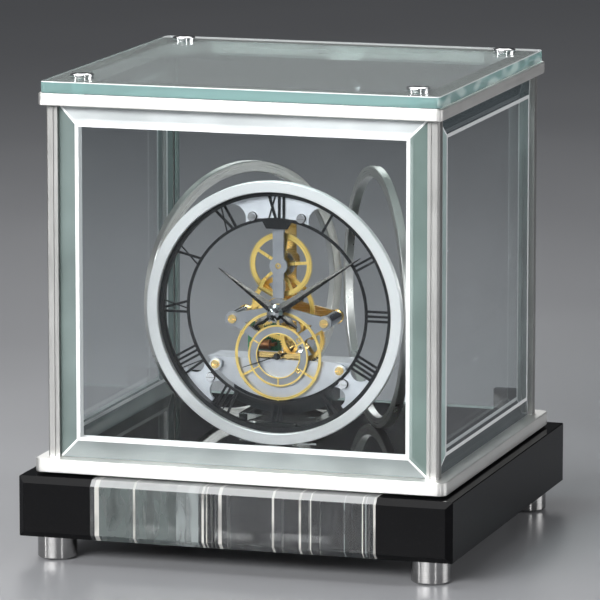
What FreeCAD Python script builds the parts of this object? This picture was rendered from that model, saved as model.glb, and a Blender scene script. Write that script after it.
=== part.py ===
"""Skeleton clock in a glass case: a battery-driven skeleton movement in a ring of three metal rings.

Frame: +X to the viewer's right, +Y to the back, +Z up, origin on the ground under the case's centre.
"""
import FreeCAD, Part
import Sketcher
import math
import os

doc = FreeCAD.newDocument("skeleton_clock")
sheet = doc.addObject("Spreadsheet::Sheet", "Dimensions")
V = FreeCAD.Vector

# ---------------------------------------------------------------- driving dimensions, mm

DIMENSIONS = [
    # case, from the ground up
    ("foot_radius", 9.6), ("foot_high", 11.9), ("foot_x", 94.2), ("foot_y", 88.1), ("foot_bevel", 0.7),
    ("foot_screw_radius", 2.0), ("foot_screw_head", 3.6), ("foot_screw_up", 10.0), ("bore_gap", 0.15),
    ("base_wide", 217.4), ("base_deep", 209.6), ("base_high", 29.8), ("base_bevel", 3.0),
    ("crystal_half", 71.5), ("crystal_deep", 24.0), ("crystal_bevel", 3.0), ("crystal_gap", 0.1),
    ("floor_wide", 181.0), ("floor_deep", 166.0), ("floor_high", 9.3), ("floor_play", 0.2),
    ("edge_break", 0.4),
    ("shadow_gap", 0.9), ("lower_wide", 206.4), ("lower_deep", 193.2), ("lower_high", 6.7),
    ("lower_corner", 4.5), ("pane_height", 171.9),
    ("upper_wide", 201.0), ("upper_deep", 191.0), ("upper_high", 5.8), ("upper_corner", 3.0),
    ("upper_border", 11.5), ("upper_web", 17.5), ("stud_deep", 4.0),
    ("top_glass_wide", 198.6), ("top_glass_deep", 190.0), ("top_glass_high", 5.8),
    ("post_x", 97.9), ("post_y", 89.9), ("post_width", 5.8), ("groove_at", 3.5), ("groove_width", 0.6),
    ("groove_deep", 0.5), ("post_round", 1.2),
    ("pane_thick", 5.0), ("pane_recess", 0.5), ("pane_gap", 0.1), ("pane_bevel", 6.5),
    ("pane_bevel_rise", 1.2), ("pane_lip", 2.0), ("pane_lip_rise", 0.5),
    ("door_gap", 0.6), ("fitting_wide", 14.0), ("fitting_high", 11.0), ("hinge_up", 5.2),
    ("hinge_pin", 1.5), ("hinge_play", 0.08), ("door_drop", 0.5), ("door_rise", 0.85),
    ("cap_x", 83.85), ("cap_y", 77.2), ("cap_radius", 5.75), ("cap_high", 2.2), ("cap_foot", 0.3),
    ("cap_side", 0.7), ("stud_radius", 3.0), ("stud_hole", 3.2),
    # three rings and the block that carries the movement
    ("ring_radius", 64.9), ("ring_width", 5.5), ("ring_thick", 4.2), ("ring_apothem", 39.75),
    ("ring_centre_y", 2.8), ("ring_break", 0.35),
    ("block_half", 20.0), ("block_front", -31.8), ("block_back", -11.8), ("block_high", 13.6),
    # dial, depths measured along Y from the case's centre
    ("dial_front", -33.2), ("dial_back", -32.4), ("rim_front", -36.4), ("rim_radius", 59.25),
    ("rim_wall", 2.1), ("chapter_outer", 46.1), ("chapter_inner", 44.7), ("thick_stroke", 1.15),
    ("thin_stroke", 0.5), ("stroke_pitch", 2.35), ("dial_screw_at", 48.0), ("dial_screw_lug", 2.3),
    ("bracket_back", -30.8), ("bracket_inner", 45.4), ("bracket_outer", 57.0), ("top_spread", 54.0),
    ("side_spread", 21.0), ("side_at", 133.5), ("top_hollow", 7.0), ("side_hollow", 5.0),
    ("hollow_in", 6.6), ("side_lug", 3.0), ("side_web", 4.4), ("side_boss", 1.8),
    ("plaque_half", 10.0), ("plaque_top", 45.4), ("tab_half", 10.3), ("tab_top", -54.9),
    # movement
    ("bridge_back", -29.2), ("rear_front", -10.6), ("rear_back", -9.0), ("top_axis", 22.15),
    ("bar_width", 5.5), ("lug_x", 23.4), ("lug_z", -5.0), ("lug_radius", 3.6), ("hub_radius", 6.2),
    ("arm_width", 5.2), ("seconds_axis", -22.15), ("small_ring_outer", 14.5), ("small_ring_inner", 10.8),
    ("pillar_radius", 3.2), ("jewel_radius", 1.5), ("jewel_bore", 0.55), ("pivot_radius", 0.5),
    ("arbor_radius", 0.9), ("screw_head", 2.1), ("screw_head_high", 1.2), ("screw_shank", 1.0),
    ("screw_slot", 0.6), ("slot_deep", 0.5), ("bar_boss", 4.5), ("bar_top", 50.0), ("leg_width", 4.2),
    ("leg_x", 9.6), ("leg_z", -13.95), ("third_boss", 2.6), ("rear_boss", 3.0), ("rear_bar_top", 47.0),
    ("motion_stud", 0.7), ("top_pillar_radius", 2.4), ("top_pillar_z", 43.5), ("cock_thick", 0.9),
    ("cock_half", 12.6), ("cock_width", 2.6), ("cock_boss", 1.8), ("cock_jewel", 1.1),
    ("seconds_thick", 0.4), ("seconds_arm", 1.1), ("seconds_link", 0.7), ("seconds_stud", 1.0),
    ("cover_radius", 44.0), ("cover_top", -24.3), ("cover_wall", 1.2), ("cover_front", -29.1),
    ("cover_screw_x", 31.7), ("cover_screw_z", -27.6), ("cover_edge_back", -24.0),
    ("shelf_back", -12.6), ("shelf_left", -16.0), ("shelf_right", 17.5),
    ("housing_radius", 52.0), ("housing_half", 25.0), ("housing_top", -25.6), ("housing_front", -23.4),
    ("housing_back", -9.4), ("battery_radius", 5.25), ("battery_long", 44.5), ("battery_z", -32.8),
    ("bay_front", -21.4), ("bay_wall", 1.5), ("bay_play", 0.4), ("cell_gap", 0.2), ("cell_cap", 1.9),
    ("board_left", -21.5), ("board_right", -4.5), ("board_low", -23.5), ("board_high", -9.5),
    ("board_front", -12.0), ("coil_y", -15.4), ("coil_z", -19.6), ("coil_left", -19.5),
    ("coil_right", -6.5), ("coil_half", 0.7), ("coil_foot", 1.4), ("coil_radius", 2.5), ("coil_cheek", 2.5),
    # wheels
    ("centre_module", 0.3210145), ("third_module", 0.38), ("motion_module", 0.35), ("hour_module", 0.28),
    ("wheel_thick", 0.8), ("wheel_rim", 1.9), ("spoke_width", 1.5), ("centre_plane", -22.9),
    ("third_plane", -25.2), ("top_plane", -26.4), ("motion_plane", -27.6), ("hour_plane", -28.8),
    ("motion_x", -8.2155), ("motion_z", -1.75), ("cannon_radius", 1.45), ("pipe_radius", 2.3),
    ("running_gap", 0.08),
    # hands
    ("hour_hand_long", 35.7), ("minute_hand_long", 51.7), ("hand_tail", 13.0), ("hand_width", 4.8),
    ("tail_width", 3.4), ("hand_ridge", 0.7), ("hand_edge", 0.15), ("hour_hand_back", -34.0),
    ("minute_hand_back", -35.1), ("hour_angle", 304.7), ("minute_angle", 56.4), ("seconds_angle", 250.0),
    ("seconds_hand_long", 19.0), ("seconds_hand_back", -31.9), ("seconds_hub_front", -33.2),
    ("seconds_hub_back", -31.5), ("seconds_hub", 1.7), ("cannon_front", -36.6), ("cap_front", -38.3),
    ("cap_flange", 4.0), ("arbor_back", -4.6), ("knob_front", -7.2), ("knob_back", -3.5),
    ("knob_radius", 5.0), ("flute_radius", 0.5), ("knob_drop", 16.0), ("pin_reach", 3.0),
    ("pin_deep", 6.0), ("pin_end", 0.2),
]

TEETH = {"centre": 100, "train_pinion": 10, "third": 60, "top_pinion": 38, "top": 96,
         "cannon": 12, "motion": 36, "motion_pinion": 12, "hour": 48}


def fill_sheet():
    """One row for each dimension: its name, then the number that carries the alias."""
    for row, (alias, value) in enumerate(DIMENSIONS, start=1):
        sheet.set("A%d" % row, alias)
        sheet.set("B%d" % row, str(value))
        sheet.setAlias("B%d" % row, alias)
    doc.recompute()


class Size:
    """A number read from the sheet together with the expression that gives it."""

    def __init__(self, value, text):
        self.value = value
        self.text = text

    def __float__(self):
        return self.value

    def __neg__(self):
        return Size(-self.value, "-(%s)" % self.text)

    def __add__(self, other):
        return Size(self.value + float(other), "(%s + %s)" % (self.text, text_of(other)))

    def __radd__(self, other):
        return Size(float(other) + self.value, "(%s + %s)" % (text_of(other), self.text))

    def __sub__(self, other):
        return Size(self.value - float(other), "(%s - %s)" % (self.text, text_of(other)))

    def __rsub__(self, other):
        return Size(float(other) - self.value, "(%s - %s)" % (text_of(other), self.text))

    def __mul__(self, other):
        return Size(self.value * float(other), "%s * %s" % (self.text, text_of(other)))

    __rmul__ = __mul__

    def __truediv__(self, other):
        return Size(self.value / float(other), "%s / %s" % (self.text, text_of(other)))


def text_of(amount):
    if isinstance(amount, Size):
        return amount.text
    return "(%r)" % float(amount)


class Sheet:
    """The sheet's cells as attributes: d.base_wide is the base's width."""

    def __getattr__(self, alias):
        return Size(float(sheet.get(alias)), "Dimensions." + alias)


fill_sheet()
d = Sheet()

# ---------------------------------------------------------------- ways of making a piece

ALONG_Y = FreeCAD.Rotation(V(0, 0, 1), V(0, 1, 0))
ALONG_X = FreeCAD.Rotation(V(0, 0, 1), V(1, 0, 0))


def bind(thing, **amounts):
    """Set each property from a size of the sheet, or from a plain number."""
    for prop, amount in amounts.items():
        if isinstance(amount, Size):
            thing.setExpression(prop, amount.text)
        else:
            setattr(thing, prop, amount)
    return thing


def at(x, y, z):
    return V(float(x), float(y), float(z))


def box(name, x, y, z):
    """A box between a low and a high value on each axis."""
    thing = doc.addObject("Part::Box", name)
    bind(thing, Length=x[1] - x[0], Width=y[1] - y[0], Height=z[1] - z[0])
    thing.Placement.Base = at(x[0], y[0], z[0])
    return thing


def post(name, radius, x, y, z):
    """An upright round piece; z is its low and high end."""
    thing = doc.addObject("Part::Cylinder", name)
    bind(thing, Radius=radius, Height=z[1] - z[0])
    thing.Placement.Base = at(x, y, z[0])
    return thing


def disc(name, radius, y, x=0.0, z=0.0):
    """A round piece lying along Y; y is its front and back plane."""
    thing = doc.addObject("Part::Cylinder", name)
    bind(thing, Radius=radius, Height=y[1] - y[0])
    thing.Placement = FreeCAD.Placement(at(x, y[0], z), ALONG_Y)
    return thing


def cross_pin(name, radius, x, y, z):
    """A round piece lying along X; x is its low and high end."""
    thing = doc.addObject("Part::Cylinder", name)
    bind(thing, Radius=radius, Height=x[1] - x[0])
    thing.Placement = FreeCAD.Placement(at(x[0], y, z), ALONG_X)
    return thing


def strip(name, start, end, width, y):
    """A straight bar in the dial's plane, from start to end, each (x, z)."""
    run, rise = float(end[0]) - float(start[0]), float(end[1]) - float(start[1])
    thing = doc.addObject("Part::Box", name)
    bind(thing, Length=math.hypot(run, rise), Width=y[1] - y[0], Height=width)
    turn = FreeCAD.Rotation(V(0, -1, 0), math.degrees(math.atan2(rise, run)))
    corner = at(start[0], y[0], start[1]) + turn.multVec(V(0, 0, -float(width) / 2))
    thing.Placement = FreeCAD.Placement(corner, turn)
    return thing


def fuse(name, pieces):
    thing = doc.addObject("Part::MultiFuse", name)
    thing.Shapes = pieces
    return thing


def cut(name, base, tools):
    tool = tools[0] if len(tools) == 1 else fuse(name + "_tools", tools)
    thing = doc.addObject("Part::Cut", name)
    thing.Base = base
    thing.Tool = tool
    return thing


def overlap(name, pieces):
    thing = doc.addObject("Part::MultiCommon", name)
    thing.Shapes = pieces
    return thing


def group(name, pieces):
    """Like pieces that stay separate solids in one node."""
    thing = doc.addObject("Part::Compound", name)
    thing.Links = pieces
    return thing


def sketch_on(body, name, role, loops):
    """A sketch of closed outlines on one of the body's own planes, each corner set by its sizes."""
    sketch = body.newObject("Sketcher::SketchObject", name)
    plane = [feature for feature in body.Origin.OriginFeatures if feature.Role == role][0]
    sketch.AttachmentSupport = [(plane, "")]
    sketch.MapMode = "FlatFace"
    for points in loops:
        corners = [V(float(x), float(y), 0) for x, y in points]
        first = sketch.GeometryCount
        for i, corner in enumerate(corners):
            sketch.addGeometry(Part.LineSegment(corner, corners[(i + 1) % len(corners)]), False)
        for i, (x, y) in enumerate(points):
            following = first + (i + 1) % len(points)
            sketch.addConstraint(Sketcher.Constraint("Coincident", first + i, 2, following, 1))
            for kind, amount in (("DistanceX", x), ("DistanceY", y)):
                index = sketch.addConstraint(
                    Sketcher.Constraint(kind, -1, 1, first + i, 1, float(amount)))
                if isinstance(amount, Size):
                    sketch.setExpression("Constraints[%d]" % index, amount.text)
    return sketch


def padded(name, role, loops, length):
    """A body made by padding outlines along their plane's normal."""
    body = doc.addObject("PartDesign::Body", name)
    sketch = sketch_on(body, name + "_outline", role, loops)
    pad = body.newObject("PartDesign::Pad", name + "_pad")
    pad.Profile = sketch
    bind(pad, Length=length)
    sketch.Visibility = False
    doc.recompute()
    return body


def turned(name, role, outline):
    """A body turned round its sketch's upright axis; the outline gives (radius, height)."""
    body = doc.addObject("PartDesign::Body", name)
    sketch = sketch_on(body, name + "_outline", role, [outline])
    turning = body.newObject("PartDesign::Revolution", name + "_turning")
    turning.Profile = sketch
    turning.ReferenceAxis = (sketch, ["V_Axis"])
    turning.Angle = 360.0
    doc.recompute()
    return body


def dress(body, kind, amount, wanted):
    """Chamfer or fillet the edges of the body's last feature that the test picks."""
    last = body.Tip
    names = ["Edge%d" % (i + 1) for i, edge in enumerate(last.Shape.Edges) if wanted(edge)]
    feature = body.newObject("PartDesign::" + kind, "%s_%s" % (body.Name, kind.lower()))
    feature.Base = (last, names)
    bind(feature, **{"Radius" if kind == "Fillet" else "Size": amount})
    doc.recompute()
    return body


def pocket(body, name, role, loops, depth, reverse):
    """Cut outlines out of a body, and prove that something came off."""
    before = body.Shape.Volume
    sketch = sketch_on(body, name + "_outline", role, loops)
    feature = body.newObject("PartDesign::Pocket", name)
    feature.Profile = sketch
    bind(feature, Length=depth)
    feature.Reversed = reverse
    doc.recompute()
    if body.Shape.Volume > before - 0.001:
        raise RuntimeError(name + " cut nothing")
    return body


def rectangle(half_x, half_y):
    return [(-half_x, -half_y), (half_x, -half_y), (half_x, half_y), (-half_x, half_y)]


def upright(edge):
    low, high = edge.BoundBox.ZMin, edge.BoundBox.ZMax
    return high - low > 1.0 and edge.BoundBox.XLength < 0.01 and edge.BoundBox.YLength < 0.01


def level(edge):
    return edge.BoundBox.ZLength < 0.01


NODES = []


def keep(name, thing, place=None):
    """Name a sub-part, set it in its place and list it for writing."""
    thing.Label = name
    if place is not None:
        thing.Placement = place
    NODES.append(thing)
    return thing

# ---------------------------------------------------------------- levels up the case

base_low = d.foot_high
base_top = base_low + d.base_high
floor_top = base_top + d.floor_high
lower_low = base_top + d.shadow_gap
lower_top = lower_low + d.lower_high
upper_low = lower_top + d.pane_height
upper_top = upper_low + d.upper_high
glass_top = upper_top + d.top_glass_high
dial_z = floor_top + d.ring_radius
door_half = d.post_x - d.post_width - d.door_gap
hinge_y = d.post_y - d.pane_recess - d.pane_thick / 2
hinge_z = lower_top + d.hinge_up

CORNERS = {"front_left": (-1, -1), "front_right": (1, -1), "rear_left": (-1, 1), "rear_right": (1, 1)}


def make_base():
    """Lacquered wooden block, bevelled round its front, with a bay in the front for the crystal."""
    body = padded("base_block", "XY_Plane", [rectangle(d.base_wide / 2, d.base_deep / 2)], d.base_high)
    face = -float(d.base_deep) / 2
    behind_bevel = face + float(d.base_bevel) + 0.01
    dress(body, "Chamfer", d.base_bevel, lambda edge: edge.BoundBox.YMax < face + 0.01)
    dress(body, "Chamfer", d.edge_break, lambda edge: edge.BoundBox.YMax > behind_bevel)
    bay = [(-d.crystal_half - d.crystal_gap, -d.base_deep), (d.crystal_half + d.crystal_gap, -d.base_deep),
           (d.crystal_half + d.crystal_gap, d.crystal_deep + d.crystal_gap - d.base_deep / 2),
           (-d.crystal_half - d.crystal_gap, d.crystal_deep + d.crystal_gap - d.base_deep / 2)]
    pocket(body, "crystal_bay", "XY_Plane", [bay], d.base_high, True)
    body.Placement.Base = at(0, 0, base_low)
    holes = []
    for corner, (side, end) in CORNERS.items():
        holes.append(post("base_hole_" + corner, d.foot_screw_radius + d.bore_gap, side * d.foot_x,
                          end * d.foot_y, (base_low - 1.0, base_low + d.foot_screw_up + 1.0)))
    body.Label = "base_blank"
    keep("base_block", cut("base_with_holes", body, holes))


def make_crystal():
    """Clear block with bevelled front edges and cut facets on its back."""
    half, front = d.crystal_half, -d.base_deep / 2
    back = front + d.crystal_deep
    facets = [(-half, front), (half, front), (half, back - 9.0), (half * 0.62, back), (half * 0.2, back),
              (half * 0.08, back - 3.0), (-half * 0.18, back - 3.0), (-half * 0.3, back),
              (-half * 0.8, back), (-half, back - 9.0)]
    body = padded("crystal_block", "XY_Plane", [facets], d.base_high)
    face = float(front)
    dress(body, "Chamfer", d.crystal_bevel, lambda edge: level(edge) and edge.BoundBox.YMax < face + 0.01)
    keep("crystal_block", body, FreeCAD.Placement(at(0, 0, base_low), FreeCAD.Rotation()))


def make_feet():
    """Four turned feet with a counterbore for the screw that holds each one up."""
    hole = d.foot_screw_radius + d.bore_gap
    well = d.foot_screw_head + d.bore_gap
    shoulder = d.foot_high - 5.0
    outline = [(hole, shoulder - 3.0), (hole, d.foot_high), (d.foot_radius, d.foot_high),
               (d.foot_radius, d.foot_bevel), (d.foot_radius - d.foot_bevel, 0.0), (well, 0.0),
               (well, shoulder - 3.0)]
    screws = []
    for corner, (side, end) in CORNERS.items():
        place = FreeCAD.Placement(at(side * d.foot_x, end * d.foot_y, 0), FreeCAD.Rotation())
        keep("foot_" + corner, turned("foot_" + corner, "XZ_Plane", outline), place)
        x, y = side * d.foot_x, end * d.foot_y
        head = post("head_" + corner, d.foot_screw_head, x, y, (shoulder - 5.5, shoulder - 3.0))
        socket = post("socket_" + corner, d.screw_shank, x, y, (shoulder - 5.5, shoulder - 4.0))
        shank = post("shank_" + corner, d.foot_screw_radius, x, y,
                     (shoulder - 3.0, d.foot_high + d.foot_screw_up))
        screws.append(cut("foot_screw_" + corner, fuse("screw_blank_" + corner, [head, shank]), [socket]))
    keep("foot_screws", group("foot_screws", screws))


def band(name, wide, deep, high, corner, opening):
    """A metal frame with rounded corners and its sharp edges broken."""
    body = padded(name, "XY_Plane", [rectangle(wide / 2, deep / 2)], high)
    dress(body, "Fillet", corner, upright)
    dress(body, "Chamfer", d.edge_break, level)
    return pocket(body, name + "_inside", "XY_Plane", [opening], high, True)


def make_lower_band():
    """Frame that lies on the base round the floor plate, with a shadow gap under it."""
    opening = rectangle(d.floor_wide / 2 + d.floor_play, d.floor_deep / 2 + d.floor_play)
    body = band("lower_band", d.lower_wide, d.lower_deep, d.lower_high, d.lower_corner, opening)
    keep("lower_band", body, FreeCAD.Placement(at(0, 0, lower_low), FreeCAD.Rotation()))


def make_upper_band():
    """Frame that holds the tops of the panes, with a drilled web across each corner for the studs."""
    half_x, half_y, web = d.upper_wide / 2 - d.upper_border, d.upper_deep / 2 - d.upper_border, d.upper_web
    opening = [(web - half_x, -half_y), (half_x - web, -half_y), (half_x, web - half_y),
               (half_x, half_y - web), (half_x - web, half_y), (web - half_x, half_y),
               (-half_x, half_y - web), (-half_x, web - half_y)]
    body = band("upper_band", d.upper_wide, d.upper_deep, d.upper_high, d.upper_corner, opening)
    body.Placement.Base = at(0, 0, upper_low)
    body.Label = "upper_band_blank"
    holes = [post("band_hole_" + corner, d.stud_radius, side * d.cap_x, end * d.cap_y,
                  (upper_top - d.stud_deep, upper_top + 1.0)) for corner, (side, end) in CORNERS.items()]
    keep("upper_band", cut("upper_band_drilled", body, holes))


def make_floor():
    """Black mirror plate that the rings stand on."""
    body = padded("floor_plate", "XY_Plane", [rectangle(d.floor_wide / 2, d.floor_deep / 2)], d.floor_high)
    dress(body, "Chamfer", d.edge_break, level)
    keep("floor_plate", body, FreeCAD.Placement(at(0, 0, base_top), FreeCAD.Rotation()))


def make_posts():
    """Square corner posts, grooved on both outer faces, the rear two drilled for the door's pins."""
    width, groove, wide, deep = d.post_width, d.groove_at, d.groove_width, d.groove_deep
    outline = [(0.0, 0.0), (groove, 0.0), (groove, deep), (groove + wide, deep), (groove + wide, 0.0),
               (width, 0.0), (width, width), (0.0, width), (0.0, groove + wide), (deep, groove + wide),
               (deep, groove), (0.0, groove)]
    turns = {"front_left": 0, "front_right": 90, "rear_right": 180, "rear_left": 270}
    for corner, (side, end) in CORNERS.items():
        body = padded("post_" + corner, "XY_Plane", [outline], d.pane_height)
        dress(body, "Fillet", d.post_round, lambda edge: upright(edge) and abs(edge.BoundBox.XMin) < 0.01
              and abs(edge.BoundBox.YMin) < 0.01)
        place = FreeCAD.Placement(at(side * d.post_x, end * d.post_y, lower_top),
                                  FreeCAD.Rotation(V(0, 0, 1), turns[corner]))
        if end < 0:
            keep("post_" + corner, body, place)
            continue
        body.Placement = place
        body.Label = "post_blank_" + corner
        reach = sorted((side * float(door_half - 1.0), side * float(door_half + d.door_gap + d.pin_reach)))
        socket = cross_pin("pin_socket_" + corner, d.hinge_pin, reach, hinge_y, hinge_z)
        keep("post_" + corner, cut("drilled_post_" + corner, body, [socket]))


def bevelled_pane(name, wide, high):
    """Glass plate with a wide bevel and a short steep lip, lying flat: outer face up, centre at origin."""
    base = doc.addObject("Part::Box", name + "_plate")
    thick = d.pane_thick - d.pane_bevel_rise - d.pane_lip_rise
    bind(base, Length=wide, Width=high, Height=thick)
    base.Placement.Base = at(-wide / 2, -high / 2, 0)
    steps = [base]
    inset, level_now = 0.0, thick
    for step, run, rise in (("bevel", d.pane_bevel, d.pane_bevel_rise), ("lip", d.pane_lip, d.pane_lip_rise)):
        wedge = doc.addObject("Part::Wedge", name + "_" + step)
        bind(wedge, Xmin=-(wide / 2 - inset), Xmax=wide / 2 - inset, Ymin=0.0, Ymax=rise,
             Zmin=-(high / 2 - inset), Zmax=high / 2 - inset,
             X2min=-(wide / 2 - inset - run), X2max=wide / 2 - inset - run,
             Z2min=-(high / 2 - inset - run), Z2max=high / 2 - inset - run)
        wedge.Placement = FreeCAD.Placement(at(0, 0, level_now), FreeCAD.Rotation(V(1, 0, 0), 90))
        steps.append(wedge)
        inset, level_now = run + inset, level_now + rise
    return fuse(name + "_pane", steps)


def make_panes():
    """Front and side glass, standing between the posts and the bands."""
    middle = (lower_top + upper_low) / 2
    high = d.pane_height - 2 * d.pane_gap
    front_wide = 2 * (d.post_x - d.post_width - d.pane_gap)
    side_wide = 2 * (d.post_y - d.post_width - d.pane_gap)
    stand = FreeCAD.Rotation(V(1, 0, 0), 90)
    inner_y = d.post_y - d.pane_recess - d.pane_thick
    inner_x = d.post_x - d.pane_recess - d.pane_thick
    keep("front_glass", bevelled_pane("front_glass", front_wide, high),
         FreeCAD.Placement(at(0, -inner_y, middle), stand))
    keep("left_glass", bevelled_pane("left_glass", side_wide, high),
         FreeCAD.Placement(at(-inner_x, 0, middle), FreeCAD.Rotation(V(0, 0, 1), -90).multiply(stand)))
    keep("right_glass", bevelled_pane("right_glass", side_wide, high),
         FreeCAD.Placement(at(inner_x, 0, middle), FreeCAD.Rotation(V(0, 0, 1), 90).multiply(stand)))


def make_door():
    """Rear glass door: pane notched for two metal corner fittings that turn on pins in the posts."""
    half = door_half
    low, high = lower_top + d.door_rise, upper_low - d.door_drop
    outer = d.post_y - d.pane_recess
    inner = outer - d.pane_thick
    notch_z = low + d.fitting_high
    inset = half - d.fitting_wide
    pane = box("door_blank", (-half, half), (inner, outer), (low, high))
    notches = [box("left_notch", (-half - 1.0, -inset), (inner - 1.0, outer + 1.0), (low - 1.0, notch_z)),
               box("right_notch", (inset, half + 1.0), (inner - 1.0, outer + 1.0), (low - 1.0, notch_z))]
    knob_z = high - d.knob_drop
    notches.append(disc("knob_hole", 2.1, (inner - 1.0, outer + 1.0), 0.0, knob_z))
    keep("rear_door", cut("rear_door", pane, notches))
    fittings, pins = [], []
    for side, name in ((-1, "left"), (1, "right")):
        reach = (-half, -inset) if side < 0 else (inset, half)
        block = box(name + "_fitting_block", reach, (inner, outer), (low, notch_z))
        deep, out = d.pin_deep + d.pin_end, d.door_gap + d.pin_reach
        hole_x = (-half - 1.0, deep - half) if side < 0 else (half - deep, half + 1.0)
        hole = cross_pin(name + "_fitting_hole", d.hinge_pin + d.hinge_play, hole_x, hinge_y, hinge_z)
        fittings.append(cut(name + "_fitting", block, [hole]))
        pin_x = (-half - out, d.pin_deep - half) if side < 0 else (half - d.pin_deep, half + out)
        pins.append(cross_pin(name + "_hinge_pin", d.hinge_pin, pin_x, hinge_y, hinge_z))
    keep("door_fittings", group("door_fittings", fittings))
    keep("hinge_pins", group("hinge_pins", pins))
    knob = turned("door_knob", "XY_Plane",
                  [(0.0, inner - 1.0), (3.4, inner - 1.0), (3.4, inner), (2.0, inner), (2.0, outer),
                   (2.6, outer), (2.6, outer + 2.0), (4.4, outer + 3.0), (4.4, outer + 5.0),
                   (3.6, outer + 5.8), (0.0, outer + 5.8)])
    keep("door_knob", knob, FreeCAD.Placement(at(0, 0, knob_z), FreeCAD.Rotation()))
    catch_plate = box("catch_plate", (-8.0, 8.0), (inner - 10.0, inner - 0.4), (upper_low - 1.2, upper_low))
    catch_magnet = box("catch_magnet", (-5.0, 5.0), (inner - 5.4, inner - 0.4),
                       (upper_low - 9.0, upper_low - 1.2))
    keep("door_catch", fuse("door_catch", [catch_plate, catch_magnet]))


def make_top():
    """Thick top glass and the four low caps whose studs pass through it into the upper band."""
    body = padded("top_glass", "XY_Plane", [rectangle(d.top_glass_wide / 2, d.top_glass_deep / 2)],
                  d.top_glass_high)
    dress(body, "Fillet", d.upper_corner, upright)
    dress(body, "Chamfer", d.edge_break, level)
    body.Placement.Base = at(0, 0, upper_top)
    body.Label = "top_glass_blank"
    holes, caps = [], []
    stud_end = -d.top_glass_high - d.stud_deep
    cap_outline = [(0.0, stud_end), (d.stud_radius, stud_end), (d.stud_radius, 0.0),
                   (d.cap_radius - d.cap_foot, 0.0), (d.cap_radius - d.cap_foot, d.cap_side),
                   (d.cap_radius, d.cap_side + d.cap_foot), (d.cap_radius, d.cap_high - 2 * d.cap_foot),
                   (d.cap_radius - d.cap_foot, d.cap_high - d.cap_foot), (d.cap_radius / 2, d.cap_high),
                   (0.0, d.cap_high)]
    for corner, (side, end) in CORNERS.items():
        x, y = side * d.cap_x, end * d.cap_y
        holes.append(post("glass_hole_" + corner, d.stud_hole, x, y, (upper_top - 1.0, glass_top + 1.0)))
        cap = turned("cap_" + corner, "XZ_Plane", cap_outline)
        cap.Placement.Base = at(x, y, glass_top)
        caps.append(cap)
    keep("top_glass", cut("top_glass_drilled", body, holes))
    keep("top_caps", group("top_caps", caps))


def make_rings():
    """Three metal rings on edge, their mid-planes the sides of an equilateral triangle."""
    outer, inner, half, edge = d.ring_radius, d.ring_radius - d.ring_width, d.ring_thick / 2, d.ring_break
    outline = [(inner, edge - half), (inner + edge, -half), (outer - edge, -half), (outer, edge - half),
               (outer, half - edge), (outer - edge, half), (inner + edge, half), (inner, half - edge)]
    for name, turn in (("front_ring", 0), ("right_ring", 120), ("left_ring", 240)):
        rotation = FreeCAD.Rotation(V(0, 0, 1), turn)
        centre = at(0, d.ring_centre_y, dial_z) + rotation.multVec(at(0, -d.ring_apothem, 0))
        keep(name, turned(name, "XY_Plane", outline), FreeCAD.Placement(centre, rotation))


def make_pedestal():
    """Clear block behind the front ring that carries the movement's housing."""
    body = padded("pedestal", "XY_Plane",
                  [[(-d.block_half, d.block_front), (d.block_half, d.block_front),
                    (d.block_half, d.block_back), (-d.block_half, d.block_back)]], d.block_high)
    dress(body, "Chamfer", d.edge_break, lambda edge: True)
    keep("pedestal", body, FreeCAD.Placement(at(0, 0, floor_top), FreeCAD.Rotation()))

# ---------------------------------------------------------------- dial and movement
# Drawn round the dial's centre, then lifted to its height.

LIFT = FreeCAD.Placement(at(0, 0, dial_z), FreeCAD.Rotation())


def polar(radius, degrees):
    """The (x, z) point at a radius, degrees clockwise from twelve."""
    angle = math.radians(degrees)
    return float(radius) * math.sin(angle), float(radius) * math.cos(angle)


def tube(name, outer, inner, y, x=0.0, z=0.0):
    bore = disc(name + "_bore", inner, (y[0] - 0.5, y[1] + 0.5), x, z)
    return cut(name, disc(name + "_blank", outer, y, x, z), [bore])


NUMERALS = ["XII", "I", "II", "III", "IIII", "V", "VI", "VII", "VIII", "IX", "X", "XI"]
GLYPH_PITCHES = {"I": 1.0, "V": 1.9, "X": 2.0}
DIAL_SCREWS = (-15.0, 15.0, -135.0, 135.0)


def numeral_strokes(hour, text):
    """Each stroke as (foot offset, head offset, width), offsets across the numeral's own axis."""
    pitch = float(d.stroke_pitch)
    total = sum(GLYPH_PITCHES[glyph] for glyph in text) * pitch
    left = -total / 2
    strokes = []
    for glyph in text:
        wide = GLYPH_PITCHES[glyph] * pitch
        middle = left + wide / 2
        splay = wide / 2 - 0.55
        if glyph == "I":
            strokes.append((middle, middle, d.thick_stroke))
        elif glyph == "V":
            strokes.append((middle - 0.2, middle - splay, d.thick_stroke))
            strokes.append((middle + 0.2, middle + splay, d.thin_stroke))
        else:
            strokes.append((middle + splay, middle - splay, d.thick_stroke))
            strokes.append((middle - splay, middle + splay, d.thin_stroke))
        left += wide
    return strokes


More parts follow.
